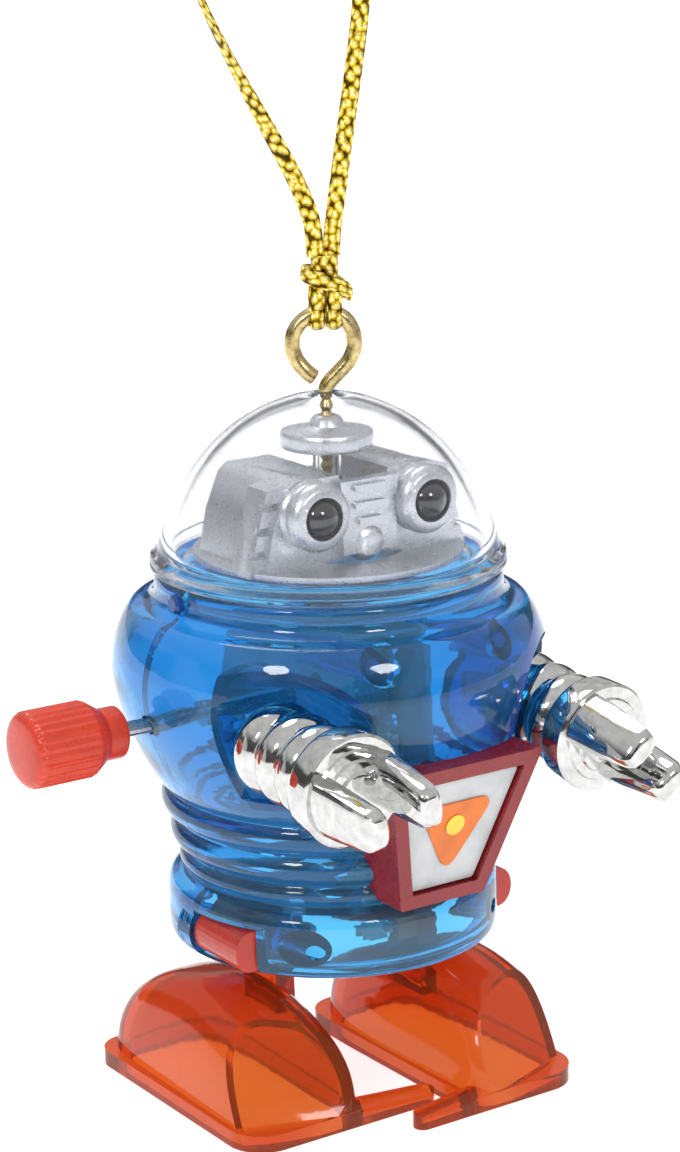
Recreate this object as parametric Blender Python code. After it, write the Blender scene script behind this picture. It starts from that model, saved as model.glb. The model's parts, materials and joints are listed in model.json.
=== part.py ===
"""Wind-up walking robot ornament: a clear-bodied toy with its movement inside.

Lengths in this file are millimetres in the robot's own frame: x = 0, y = 0 is the axis of the
round body, z = 0 is the soles, -Y is the robot's front and -X is its right side.
MM turns them into metres, and place_on_origin() puts the middle of the finished box on the origin.
"""
import bmesh
import bpy
import math
from mathutils import Matrix, Vector
from mathutils.geometry import convex_hull_2d

MM = 0.001
TAU = 2 * math.pi

# ---- driving dimensions ---------------------------------------------------------------------
# round body
BODY_BOTTOM = 19.25          # lower rim above the soles
BASE_R = 19.5                # base drum
CHEST_R = 25.5               # widest part of the chest
COLLAR_R = 20.2              # neck ring that carries the dome
COLLAR_TOP = 63.0
SEAM_GAP = 0.06              # between the front and rear halves
ROUND = 32                   # facets around the body and the dome
# dome
LIP_R = 20.65
DOME_TOP = 83.3
# movement: every shaft lies along X, and (y, z) is its place
PLATE_IN, PLATE_OUT = 4.9, 5.7   # |x| of a plate's faces
MODULE = 0.5
MAIN_T, SECOND_PINION_T, SECOND_WHEEL_T, CRANK_T, ESCAPE_PINION_T = 40, 10, 40, 16, 8
WIND = (0.0, 48.2)
CRANK = (-1.5, 21.8)
CRANK_THROW = 2.67
SHAFT_R = 0.9
RUN = 0.06                   # radial running clearance
ESCAPE_ANGLE = math.radians(30)
ESCAPE_R = 3.0
# knob
KNOB_NECK = (-28.8, -31.3, 3.0)      # from x, to x, radius
KNOB_BODY = (-31.3, -40.7, 4.4)
KNOB_CAP = (-40.7, -41.15, 3.5)
KNOB_RIDGES = 28
# arms
ARM_X, ARM_Y, ARM_Z = 17.1, -8.5, 48.2     # shoulder pin
ARM_R = 5.4
WRIST_R = 6.45
ARM_END = 30.6                              # from the pin to the jaws' ends
LEFT_DROOP, RIGHT_DROOP = 5.8, 4.0          # degrees each arm is built hanging below level
LEFT_ROLL, RIGHT_ROLL = -45.0, -10.0        # turn of each claw about its own arm
SOCKET_R = 7.3
SOCKET_FLOOR = -10.6
# feet
FOOT_OUT = 22.0
SOLE_T = 2.0
TOE_FRONT = -15.2            # with this foot's crank pin at the rear
HEEL = 20.0
LEFT_REACH, RIGHT_REACH = 2.2, 4.2   # each toe bar's tip past the middle
LEG_IN, LEG_OUT = 7.2, 9.8
# ring and cord
RING_Z = 88.9
RING_R = 3.35
WIRE_R = 0.82
RING_TURN = math.radians(-30)
CORD_R = 1.0


# ---- small geometry kit ---------------------------------------------------------------------
def clear_scene():
    for item in list(bpy.data.objects):
        bpy.data.objects.remove(item, do_unlink=True)


def solid(name, verts, faces):
    """A mesh object from millimetre points."""
    mesh = bpy.data.meshes.new(name)
    mesh.from_pydata([tuple(c * MM for c in v) for v in verts], [], faces)
    mesh.update()
    item = bpy.data.objects.new(name, mesh)
    bpy.context.scene.collection.objects.link(item)
    return item


def outward(item):
    """Turn every face outwards by the sign of the volume."""
    mesh = item.data
    mesh.calc_loop_triangles()
    volume = sum(mesh.vertices[t.vertices[0]].co.dot(
        mesh.vertices[t.vertices[1]].co.cross(mesh.vertices[t.vertices[2]].co))
        for t in mesh.loop_triangles)
    if volume < 0:
        mesh.flip_normals()
    return item


def axis_point(axis, a, b, h):
    """(a, b) across the axis and h along it. X: (y, z), Y: (x, z), Z: (x, y)."""
    return {"X": (h, a, b), "Y": (a, h, b), "Z": (a, b, h)}[axis]


def prism(name, outline, lo, hi, axis):
    n = len(outline)
    verts = [axis_point(axis, a, b, lo) for a, b in outline]
    verts += [axis_point(axis, a, b, hi) for a, b in outline]
    faces = [tuple(range(n - 1, -1, -1)), tuple(range(n, 2 * n))]
    faces += [(i, (i + 1) % n, n + (i + 1) % n, n + i) for i in range(n)]
    return outward(solid(name, verts, faces))


def turned(name, profile, axis="Z", centre=(0, 0), segments=24, phase=0.0):
    """Revolve a closed outline of (radius, height) points; radius 0 points sit on the axis."""
    verts, rings = [], []
    for radius, height in profile:
        if radius == 0:
            verts.append(axis_point(axis, centre[0], centre[1], height))
            rings.append([len(verts) - 1] * segments)
            continue
        start = len(verts)
        for k in range(segments):
            angle = phase + TAU * k / segments
            verts.append(axis_point(axis, centre[0] + radius * math.cos(angle),
                                    centre[1] + radius * math.sin(angle), height))
        rings.append(list(range(start, start + segments)))
    faces = []
    pairs = list(zip(rings, rings[1:] + rings[:1]))
    for a, b in pairs:
        if a[0] == a[1] and b[0] == b[1]:
            continue
        for k in range(segments):
            j = (k + 1) % segments
            ring = []
            for v in (a[k], a[j], b[j], b[k]):
                if v not in ring:
                    ring.append(v)
            faces.append(tuple(ring))
    return outward(solid(name, verts, faces))


def rod(name, radius, lo, hi, axis, centre=(0, 0), segments=16):
    outline = [(0, lo), (radius, lo), (radius, hi), (0, hi)]
    return turned(name, outline, axis, centre, segments)


def block(name, lo, hi):
    (x0, y0, z0), (x1, y1, z1) = lo, hi
    return prism(name, [(x0, y0), (x1, y0), (x1, y1), (x0, y1)], z0, z1, "Z")


def combine(item, other, operation):
    """Boolean with the exact solver, made real at once; the other solid is used up."""
    step = item.modifiers.new("step", "BOOLEAN")
    step.operation = operation
    step.solver = "EXACT"
    step.object = other
    bpy.context.view_layer.update()
    made = item.evaluated_get(bpy.context.evaluated_depsgraph_get())
    mesh = bpy.data.meshes.new_from_object(made)
    item.modifiers.clear()
    item.data = mesh
    bpy.data.objects.remove(other, do_unlink=True)
    return item


def add(item, *others):
    for other in others:
        combine(item, other, "UNION")
    return item


def cut(item, *others):
    for other in others:
        combine(item, other, "DIFFERENCE")
    return item


def keep(item, other):
    return combine(item, other, "INTERSECT")


def moved(item, matrix):
    item.data.transform(matrix)
    return item


def about_x(centre, degrees):
    """Turn about the X line through (y, z)."""
    pivot = Vector((0, centre[0] * MM, centre[1] * MM))
    return (Matrix.Translation(pivot) @ Matrix.Rotation(math.radians(degrees), 4, "X")
            @ Matrix.Translation(-pivot))


def mirrored(item, name):
    """The same solid on the robot's other side; the original is used up."""
    mesh = item.data.copy()
    mesh.transform(Matrix.Diagonal((-1, 1, 1, 1)))
    mesh.flip_normals()
    twin = bpy.data.objects.new(name, mesh)
    bpy.context.scene.collection.objects.link(twin)
    bpy.data.objects.remove(item, do_unlink=True)
    return twin


def arc(centre, radius, start, end, steps):
    """Points on an arc, in degrees."""
    return [(centre[0] + radius * math.cos(math.radians(start + (end - start) * k / steps)),
             centre[1] + radius * math.sin(math.radians(start + (end - start) * k / steps)))
            for k in range(steps + 1)]


def hull(circles, steps=16):
    """The outline around a set of (y, z, radius) circles."""
    points = [Vector(p) for y, z, r in circles for p in arc((y, z), r, 0, 360, steps)[:-1]]
    return [tuple(points[i]) for i in convex_hull_2d(points)]


# ---- the round body -------------------------------------------------------------------------
def body_outline():
    """Outer (radius, z) outline from the lower rim up to the collar's top."""
    waist = [(17.4, 27.4), (18.1, 28.2), (18.1, 29.2), (17.3, 29.9),
             (18.7, 30.7), (19.2, 32.0), (18.8, 33.1), (18.1, 33.8),
             (19.7, 34.6), (20.2, 35.9), (19.9, 37.0), (19.3, 37.6)]
    chest = [(20.4, 38.4), (22.0, 41.0), (23.8, 44.8), (25.0, 48.4), (CHEST_R, 51.6),
             (25.2, 54.6), (24.3, 57.2), (23.3, 58.8), (22.6, 59.3)]
    collar = [(21.4, 59.5), (20.6, 60.1), (COLLAR_R, 61.0), (COLLAR_R, COLLAR_TOP)]
    base = [(19.1, BODY_BOTTOM), (19.4, 20.3), (BASE_R, 21.6), (BASE_R, 25.4),
            (19.0, 26.5), (18.0, 27.1)]
    return base + waist + chest + collar


def inner_outline():
    """The inside of the wall, from the top down."""
    return [(18.85, COLLAR_TOP), (18.85, 60.2), (22.6, 56.9), (24.0, 53.6),
            (24.1, 50.8), (22.4, 44.6), (18.3, 38.0),
            (16.7, 34.2), (15.95, 30.2), (15.95, 28.0), (18.2, 24.9),
            (18.2, 20.5), (16.4, 20.4), (16.4, BODY_BOTTOM)]


def body_solid(name, swell=0.0):
    """The body as if it were not hollow; swell moves its surface outwards."""
    outline = [(r + swell, z) for r, z in body_outline()]
    return turned(name, [(0, BODY_BOTTOM)] + outline + [(0, COLLAR_TOP)], segments=ROUND)


LOWER_BOSS = (12.6, 22.7, 2.2)      # x, z, radius of the screw bosses
UPPER_BOSS = (8.2, 56.6, 1.9)
SCREW_R = 0.75
TAB = (19.65, -0.35, -9.2, 19.7, 24.5)   # |x| reach, rear y, front y, bottom z, top z
DOME_PIN_Z = 61.6


def half_shell(name, front):
    """One half of the body: the turned wall on one side of the seam plane."""
    side = -1 if front else 1
    half = turned(name, body_outline() + inner_outline(), segments=ROUND)
    near, far = SEAM_GAP / 2 * side, 40 * side
    keep(half, block("side", (-40, min(near, far), 0), (40, max(near, far), 90)))
    # screw bosses run from the wall to the seam
    for x, z, r in (LOWER_BOSS, UPPER_BOSS):
        for sign in (-1, 1):
            boss = rod("boss", r, min(near, 30 * side), max(near, 30 * side), "Y", (sign * x, z), 12)
            add(half, keep(boss, body_solid("inside", -0.3)))
            lo, hi = (-12.0, 1.0) if front else (-1.0, 40.0)
            cut(half, rod("hole", SCREW_R + 0.12, lo, hi, "Y", (sign * x, z), 10))
            if not front:
                head_seat = 9.0 if z < 40 else 15.0
                cut(half, rod("sink", 1.55, head_seat, 40, "Y", (sign * x, z), 12))
    # winding shaft hole and the dome pins' holes, on the seam
    cut(half, rod("shaft_way", SHAFT_R + 0.25, -30, 0, "X", WIND, 16))
    for sign in (-1, 1):
        cut(half, rod("pin_way", 0.68, min(16 * sign, 30 * sign), max(16 * sign, 30 * sign),
                      "X", (0, DOME_PIN_Z), 12))
    return half


def front_shell():
    shell = half_shell("front_shell", True)
    for sign in (-1, 1):
        cx = sign * ARM_X
        cup = rod("cup", SOCKET_R + 1.0, -30, SOCKET_FLOOR + 1.0, "Y", (cx, ARM_Z), 24)
        add(shell, keep(cup, body_solid("inside", -0.02)))
        cut(shell, rod("socket", SOCKET_R, -40, SOCKET_FLOOR, "Y", (cx, ARM_Z), 24))
        for cheek in (-1, 1):
            x0, x1 = sorted((cx + cheek * 1.55, cx + cheek * 3.0))
            add(shell, block("cheek", (x0, SOCKET_FLOOR + 0.4, ARM_Z - 1.9),
                             (x1, ARM_Y + 1.7, ARM_Z + 1.9)))
        cut(shell, block("slot", (cx - 1.5, SOCKET_FLOOR - 0.5, ARM_Z - 2.7),
                         (cx + 1.5, SOCKET_FLOOR + 1.4, ARM_Z + 2.7)))
        cut(shell, rod("pin_way", 0.8, cx - 3.2, cx + 3.2, "X", (ARM_Y, ARM_Z), 12))
    # windows that the frame's tabs come out through
    reach, rear, front, low, high = TAB
    for sign in (-1, 1):
        x0, x1 = sorted((sign * 13.4, sign * 24))
        cut(shell, block("window", (x0, front - 0.25, low - 0.25), (x1, 1.0, high + 0.25)))
    # holes for the chest box's two pegs
    for z in BOX_PEGS:
        cut(shell, rod("peg_way", 1.02, -30, -10, "Y", (0, z), 12))
    return shell


def rear_shell():
    shell = half_shell("rear_shell", False)
    # round-backed fairings over the ends of the frame's tabs
    reach, _, _, low, high = TAB
    for sign in (-1, 1):
        fairing = prism("fairing", tab_section(sign, 17.0, reach + 0.5, low - 0.2, high + 0.2),
                        SEAM_GAP / 2, 2.6, "Y")
        cut(fairing, turned("under", [(0, 10), (18.2, 10), (18.2, 30), (0, 30)], segments=ROUND))
        add(shell, fairing)
    return shell


def tab_section(sign, inner, reach, low, high):
    """A D-shaped section in (x, z): flat inside, round outside."""
    radius = (high - low) / 2
    mid = (high + low) / 2
    flat = 1.9
    curve = [(reach - flat + flat * math.cos(math.radians(a)), mid + radius * math.sin(math.radians(a)))
             for a in range(-90, 91, 15)]
    outline = [(inner, low)] + curve + [(inner, high)]
    return [(sign * x, z) for x, z in outline]


def dome():
    outer = [(LIP_R, 63.3), (LIP_R, 64.9), (20.2, 65.3), (19.75, 65.5), (19.5, 66.9), (18.6, 69.4),
             (17.1, 72.5), (15.2, 75.3), (12.7, 78.1), (9.4, 80.6), (5.4, 82.45),
             (1.7, DOME_TOP)]
    inner = [(1.05, DOME_TOP), (1.05, 82.1), (4.5, 81.45), (8.8, 79.6), (12.3, 76.7),
             (15.1, 73.2), (17.3, 69.0), (18.3, 66.0),
             (17.6, 64.4), (14.4, 64.4), (14.4, 63.7), (17.6, 63.2), (17.6, 60.8), (18.7, 60.8), (18.7, 63.3)]
    shell = turned("dome", outer + inner, segments=ROUND)
    for sign in (-1, 1):
        cut(shell, rod("pin_way", 0.68, min(16 * sign, 19.2 * sign), max(16 * sign, 19.2 * sign),
                       "X", (0, DOME_PIN_Z), 12))
    return shell


def dome_pin(name, sign):
    """A small peg from the collar into the dome's spigot."""
    outline = [(0, 17.2), (0.6, 17.2), (0.6, 20.35), (1.15, 20.35), (1.15, 21.0), (0.8, 21.3), (0, 21.3)]
    return turned(name, [(r, sign * h) for r, h in outline], "X", (0, DOME_PIN_Z), 12)


def shell_screw(name, x, z, seat):
    """Pan-head screw from the rear, with a driver slot."""
    tip = -9.0 if z < 40 else -10.0
    outline = [(0, tip), (0.45, tip), (SCREW_R, tip + 1.0), (SCREW_R, seat + 0.02), (1.4, seat + 0.02),
               (1.4, seat + 0.6), (1.0, seat + 1.0), (0, seat + 1.05)]
    screw = turned(name, outline, "Y", (x, z), 10)
    return cut(screw, block("slot", (x - 2, seat + 0.6, z - 0.2), (x + 2, seat + 2, z + 0.2)))


# ---- head and dome furniture ----------------------------------------------------------------
EYE_X, EYE_Z = 7.4, 71.3
EYE_FRONT = -10.3
EYE_BALL_R = 2.35


def head():
    """Tapered block with two eye tubes, ribbed side columns and a face plate."""
    block_outline = [(-13.2, 64.8), (13.2, 64.8), (12.2, 70.0), (10.4, 74.2), (9.2, 75.2),
                     (3.4, 75.2), (2.6, 73.1), (-2.6, 73.1), (-3.4, 75.2), (-9.2, 75.2),
                     (-10.4, 74.2), (-12.2, 70.0)]
    body = prism("head", block_outline, -7.2, 7.0, "Y")
    # eye tubes with two ribs behind the bezel
    tube = [(0, EYE_FRONT), (3.1, EYE_FRONT), (3.5, EYE_FRONT + 0.25), (3.95, EYE_FRONT + 0.9),
            (3.95, -8.6), (3.55, -8.3), (3.55, -7.6), (3.95, -7.3), (3.95, -6.4), (3.55, -6.1),
            (3.55, -5.4), (3.95, -5.1), (3.95, -4.0), (3.4, -3.6), (0, -3.6)]
    for sign in (-1, 1):
        add(body, turned("tube", tube, "Y", (sign * EYE_X, EYE_Z), 18))
    # ribbed columns at the front corners
    for sign in (-1, 1):
        column = prism("column", [(sign * 10.8, 64.65), (sign * 15.0, 64.65), (sign * 12.4, 74.4),
                                  (sign * 10.1, 74.9)], -6.4, -2.6, "Y")
        for z in (67.3, 69.9, 72.5):
            x0, x1 = sorted((sign * 10.0, sign * 17.0))
            groove = prism("groove", [(x0, z - 0.45), (x1, z - 0.45), (x1, z + 0.45), (x0, z + 0.45)],
                           -7.5, -5.6, "Y")
            cut(column, groove)
        add(body, column)
    # face plate with three bars and a chin
    add(body, prism("face", [(-3.6, 66.2), (3.6, 66.2), (3.9, 74.6), (-3.9, 74.6)], -8.4, -6.9, "Y"))
    for z, half in ((73.7, 1.9), (71.7, 1.9), (69.9, 1.3)):
        bar = arc((half, z), 0.42, -90, 90, 4) + arc((-half, z), 0.42, 90, 270, 4)
        add(body, prism("bar", bar, -8.95, -8.2, "Y"))
    add(body, turned("chin", [(0, -9.0), (1.3, -8.9), (2.3, -8.0), (2.4, -6.7), (0, -6.7)], "Y", (0, 67.3), 16))
    # sockets for the eye balls, and a seat for the antenna tube
    for sign in (-1, 1):
        cut(body, rod("eye_way", EYE_BALL_R + 0.12, EYE_FRONT - 2, EYE_FRONT + 1.87, "Y",
                      (sign * EYE_X, EYE_Z), 20))
    cut(body, rod("tube_way", 1.75, 72.2, 76, "Z", (0, 0), 16))
    cut(body, rod("hollow", 0.9, 60, 73, "Z", (0, 0), 12))
    # foot ring that stands on the ledge inside the dome's spigot
    add(body, turned("foot", [(9.0, 64.45), (15.6, 64.45), (15.6, 65.3), (9.0, 65.3)], segments=32))
    return body


def eye(name, sign):
    ball = [(0, EYE_FRONT - 0.95)]
    ball += [(EYE_BALL_R * math.sin(math.radians(a)), EYE_FRONT + 1.4 - EYE_BALL_R * math.cos(math.radians(a)))
             for a in range(15, 91, 15)]
    ball += [(EYE_BALL_R, EYE_FRONT + 1.8), (0, EYE_FRONT + 1.8)]
    return turned(name, ball, "Y", (sign * EYE_X, EYE_Z), 18)


def antenna_disc():
    outline = [(0.95, 76.8), (5.1, 76.8), (5.35, 77.1), (5.35, 78.6), (5.1, 78.95), (2.2, 79.1),
               (1.7, 80.3), (0.95, 80.6)]
    return turned("antenna_disc", outline, "Z", (0, 0), 28)


def antenna_tube():
    outline = [(0.95, 72.3), (1.65, 72.3), (1.65, 76.7), (0.95, 76.7)]
    return turned("antenna_tube", outline, "Z", (0, 0), 20)


def bent_wire(name, points, radius, steps=8):
    """Round wire along millimetre points, with flat ends."""
    data = bpy.data.curves.new(name, "CURVE")
    data.dimensions = "3D"
    data.bevel_depth = radius * MM
    data.bevel_resolution = steps // 4
    data.use_fill_caps = True
    line = data.splines.new("POLY")
    line.points.add(len(points) - 1)
    for knot, place in zip(line.points, points):
        knot.co = (place[0] * MM, place[1] * MM, place[2] * MM, 1)
    item = bpy.data.objects.new(name, data)
    bpy.context.scene.collection.objects.link(item)
    return item


def wire_solid(name, points, radius, steps=8):
    """The wire as a mesh that booleans can use."""
    wire = bent_wire(name + "_path", points, radius, steps)
    bpy.context.view_layer.update()
    mesh = bpy.data.meshes.new_from_object(wire.evaluated_get(bpy.context.evaluated_depsgraph_get()))
    bpy.data.objects.remove(wire, do_unlink=True)
    item = bpy.data.objects.new(name, mesh)
    bpy.context.scene.collection.objects.link(item)
    bm_close(item)
    return item


def bm_close(item):
    """Weld the cap vertices that a bevelled curve leaves apart."""
    work = bmesh.new()
    work.from_mesh(item.data)
    bmesh.ops.remove_doubles(work, verts=work.verts, dist=0.00001)
    bmesh.ops.recalc_face_normals(work, faces=work.faces)
    work.to_mesh(item.data)
    work.free()


def screw_eye():
    """Threaded shank that turns into an open ring."""
    turn_x, turn_y = math.cos(RING_TURN), math.sin(RING_TURN)
    ring = []
    for degrees in range(-90, 236, 18):
        a = math.radians(degrees)
        across = RING_R * math.cos(a)
        ring.append((across * turn_x, across * turn_y, RING_Z + RING_R * math.sin(a)))
    wire = [(0, 0, 82.9), (0, 0, 84.2)] + ring
    item = wire_solid("screw_eye", wire, WIRE_R, 8)
    thread = [(0, 73.7), (0.45, 73.7)]
    z = 74.3
    while z < 82.0:
        thread += [(0.52, z), (0.78, z + 0.45)]
        z += 0.95
    thread += [(0.6, 82.3), (0.75, 82.6), (0.75, 83.4), (0, 83.4)]
    add(item, turned("thread", thread, "Z", (0, 0), 10))
    return item


def cord_route():
    """One strand up, over an open loop, and down the other strand."""
    left = [(-1.1, 0.2, 98.8), (-1.5, 0.3, 103.0), (-3.6, 0.5, 108.0), (-6.6, 0.5, 113.0), (-9.7, 0.4, 118.0),
            (-12.7, 0.3, 123.0), (-15.4, 0.2, 128.0), (-17.3, 0.1, 133.0), (-18.0, 0.0, 138.0)]
    over = [(-17.4, 0.0, 143.0), (-15.2, 0.0, 147.4), (-11.6, 0.0, 150.6), (-7.0, 0.0, 152.0),
            (-2.4, 0.0, 151.2), (1.4, 0.0, 148.6), (4.0, 0.0, 144.8)]
    right = [(5.5, 0.0, 140.0), (6.0, 0.0, 135.0), (5.7, 0.0, 130.0), (5.2, 0.0, 125.0),
             (4.4, 0.0, 120.0), (3.5, 0.0, 115.0), (2.6, 0.0, 110.0), (1.8, 0.1, 105.0), (1.3, 0.2, 101.5),
             (1.1, 0.2, 98.8)]
    return left + over + right


def cord_knot():
    """The lark's-head: a bight over the ring's top with a band across it."""
    turn_x, turn_y = math.cos(RING_TURN), math.sin(RING_TURN)
    top = RING_Z + RING_R
    knot = turned("cord_knot", [(0, 94.3), (1.7, 94.1), (2.6, 95.0), (2.65, 96.8), (2.2, 98.0), (1.2, 98.55),
                                (0, 98.55)], "Z", (0, 0), 16)
    moved(knot, Matrix.Rotation(RING_TURN, 4, "Z") @ Matrix.Diagonal((1.0, 0.72, 1.0, 1.0)))
    for side in (-1, 1):
        loop = []
        bend = [(1.74 * math.cos(math.radians(a)), top - 0.12 - 1.74 * math.sin(math.radians(a)))
                for a in range(-40, 221, 20)]
        for y, z in [(0.6, 95.6)] + bend + [(-0.6, 95.6)]:
            x = side * 0.85
            loop.append((x * turn_x - y * turn_y, x * turn_y + y * turn_x, z))
        add(knot, wire_solid("loop", loop, 0.72, 8))
    return knot


# ---- movement -------------------------------------------------------------------------------
def gear_radius(teeth):
    return teeth * MODULE / 2


def towards(a, b):
    return math.atan2(b[1] - a[1], b[0] - a[0])


def second_place():
    """The intermediate shaft, in mesh with both the winding arbor and the crank."""
    near = gear_radius(MAIN_T) + gear_radius(SECOND_PINION_T)
    far = gear_radius(SECOND_WHEEL_T) + gear_radius(CRANK_T)
    dy, dz = CRANK[0] - WIND[0], CRANK[1] - WIND[1]
    span = math.hypot(dy, dz)
    along = (near ** 2 - far ** 2 + span ** 2) / (2 * span)
    aside = math.sqrt(max(near ** 2 - along ** 2, 0))
    uy, uz = dy / span, dz / span
    return (WIND[0] + uy * along - uz * aside, WIND[1] + uz * along + uy * aside)


SECOND = second_place()
ESCAPE_REACH = gear_radius(SECOND_WHEEL_T) + gear_radius(ESCAPE_PINION_T)
ESCAPE = (SECOND[0] + ESCAPE_REACH * math.cos(ESCAPE_ANGLE),
          SECOND[1] + ESCAPE_REACH * math.sin(ESCAPE_ANGLE))
PALLET_ANGLE = math.radians(25)
PALLET = (ESCAPE[0] + 5.4 * math.cos(PALLET_ANGLE), ESCAPE[1] + 5.4 * math.sin(PALLET_ANGLE))


def gear(name, teeth, centre, lo, hi, phase, bore):
    """Spur gear along X with straight-sided teeth; a tooth's middle is at the phase angle."""
    step = TAU / teeth
    pitch = gear_radius(teeth)
    root, tip = pitch - 0.58, pitch + 0.42
    outline = []
    for k in range(teeth):
        at = phase + k * step
        for part, radius in ((-0.235, root), (-0.10, tip), (0.10, tip), (0.235, root)):
            angle = at + part * step
            outline.append((centre[0] + radius * math.cos(angle), centre[1] + radius * math.sin(angle)))
    wheel = prism(name, outline, lo, hi, "X")
    if bore:
        cut(wheel, rod("bore", bore, lo - 1, hi + 1, "X", centre, 16))
    return wheel


def lighten(wheel, centre, lo, hi, count, radius, hole):
    """Round holes through a wheel's web."""
    for k in range(count):
        a = TAU * (k + 0.5) / count
        spot = (centre[0] + radius * math.cos(a), centre[1] + radius * math.sin(a))
        cut(wheel, rod("hole", hole, lo - 1, hi + 1, "X", spot, 8))
    return wheel


MAIN_X = (-3.9, -2.9)
SECOND_PINION_X = (-4.4, -2.6)
SECOND_WHEEL_X = (3.6, 4.4)
SPRING_X = (-2.3, 3.0)
ESCAPE_X = (0.6, 1.4)


def main_gear():
    wheel = gear("main_gear", MAIN_T, WIND, *MAIN_X, towards(WIND, SECOND), SHAFT_R + 0.05)
    return lighten(wheel, WIND, *MAIN_X, 4, 5.6, 1.8)


def second_pinion():
    phase = towards(SECOND, WIND) + math.pi / SECOND_PINION_T
    pinion = gear("second_pinion", SECOND_PINION_T, SECOND, *SECOND_PINION_X, phase, 0)
    arbor = rod("arbor", 0.6, -5.6, 5.6, "X", SECOND, 12)
    return add(pinion, arbor)


def second_wheel():
    wheel = gear("second_wheel", SECOND_WHEEL_T, SECOND, *SECOND_WHEEL_X, towards(SECOND, CRANK), 0.65)
    return lighten(wheel, SECOND, *SECOND_WHEEL_X, 4, 5.6, 1.8)


def crank_pinion():
    phase = towards(CRANK, SECOND) + math.pi / CRANK_T
    return gear("crank_pinion", CRANK_T, CRANK, SECOND_WHEEL_X[0] - 0.2, SECOND_WHEEL_X[1] + 0.2, phase,
                SHAFT_R + 0.05)


def escape_wheel():
    """Ratchet wheel, arbor and pinion in one piece."""
    line = towards(SECOND, ESCAPE)
    step = TAU / SECOND_WHEEL_T
    offset = (line - towards(SECOND, CRANK)) % step
    phase = line + math.pi + math.pi / ESCAPE_PINION_T + offset * SECOND_WHEEL_T / ESCAPE_PINION_T
    item = gear("escape_wheel", ESCAPE_PINION_T, ESCAPE, SECOND_WHEEL_X[0] - 0.2, SECOND_WHEEL_X[1] + 0.2,
                phase, 0)
    add(item, rod("arbor", 0.5, -5.6, 5.6, "X", ESCAPE, 12))
    outline = []
    for k in range(12):
        for part, radius in ((0.0, ESCAPE_R - 1.0), (0.55, ESCAPE_R), (0.7, ESCAPE_R)):
            a = (k + part) * TAU / 12
            outline.append((ESCAPE[0] + radius * math.cos(a), ESCAPE[1] + radius * math.sin(a)))
    return add(item, prism("ratchet", outline, *ESCAPE_X, "X"))


def pallet():
    """Two-armed pallet on its own arbor, clear of the wheel at mid swing."""
    tips = []
    for side in (-1, 1):
        a = PALLET_ANGLE + side * math.radians(52)
        tips.append((ESCAPE[0] + 3.7 * math.cos(a), ESCAPE[1] + 3.7 * math.sin(a)))
    item = prism("pallet", hull([(*PALLET, 1.0), (*tips[0], 0.25)], 12), *ESCAPE_X, "X")
    add(item, prism("arm", hull([(*PALLET, 1.0), (*tips[1], 0.25)], 12), *ESCAPE_X, "X"))
    return add(item, rod("arbor", 0.5, -5.6, 5.6, "X", PALLET, 12))


def mainspring():
    """Flat strip coiled from the arbor out to a frame pillar."""
    inner, outer, turns, strip = 1.35, 7.4, 4.6, 0.24
    steps = 70
    rim = []
    for k in range(steps + 1):
        a = TAU * turns * k / steps
        r = inner + (outer - inner) * k / steps
        rim.append((a, r))
    outline = [(WIND[0] + (r + strip) * math.cos(a), WIND[1] + (r + strip) * math.sin(a)) for a, r in rim]
    outline += [(WIND[0] + r * math.cos(a), WIND[1] + r * math.sin(a)) for a, r in reversed(rim)]
    return prism("mainspring", outline, *SPRING_X, "X")


PILLARS = [(-10.9, 40.4), (12.7, 33.2), (-9.6, 56.2), (9.6, 56.2)]


def motor_plate(name, sign):
    circles = [(*WIND, 2.5), (*CRANK, 2.3), (*SECOND, 2.0), (*ESCAPE, 1.6), (*PALLET, 1.6)]
    circles += [(y, z, 1.9) for y, z in PILLARS]
    x0, x1 = sorted((sign * PLATE_IN, sign * PLATE_OUT))
    plate = prism(name, hull(circles, 14), x0, x1, "X")
    # lugs that rest on the frame's deck
    for y0, y1 in ((-13.2, -4.0), (4.0, 13.2)):
        add(plate, block("lug", (x0, y0, DECK_TOP + 0.02), (x1, y1, DECK_TOP + 1.7)))
    for (y, z), r in ((WIND, SHAFT_R), (CRANK, SHAFT_R), (SECOND, 0.6), (ESCAPE, 0.5), (PALLET, 0.5)):
        cut(plate, rod("bush", r + RUN, x0 - 1, x1 + 1, "X", (y, z), 16))
    for z in (44.0, 52.4):
        cut(plate, rod("sight", 1.2, x0 - 1, x1 + 1, "X", (-5.6, z), 12))
    if sign < 0:
        for spot in PILLARS:
            add(plate, rod("pillar", 0.95, -PLATE_IN - 0.2, PLATE_IN - 0.02, "X", spot, 12))
    return plate


def winding_arbor():
    """Steel shaft from inside the knob, through the shell, to the far plate."""
    arbor = rod("winding_arbor", SHAFT_R, -39.0, 5.6, "X", WIND, 16)
    # flats where the knob is pressed on, and a slotted collar inside the shell
    add(arbor, turned("collar", [(0, -17.6), (1.7, -17.6), (1.7, -15.4), (0, -15.4)], "X", WIND, 16))
    cut(arbor, block("slot", (-17.8, WIND[0] - 0.3, WIND[1] + 1.0), (-15.2, WIND[0] + 0.3, WIND[1] + 2)))
    return arbor


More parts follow.
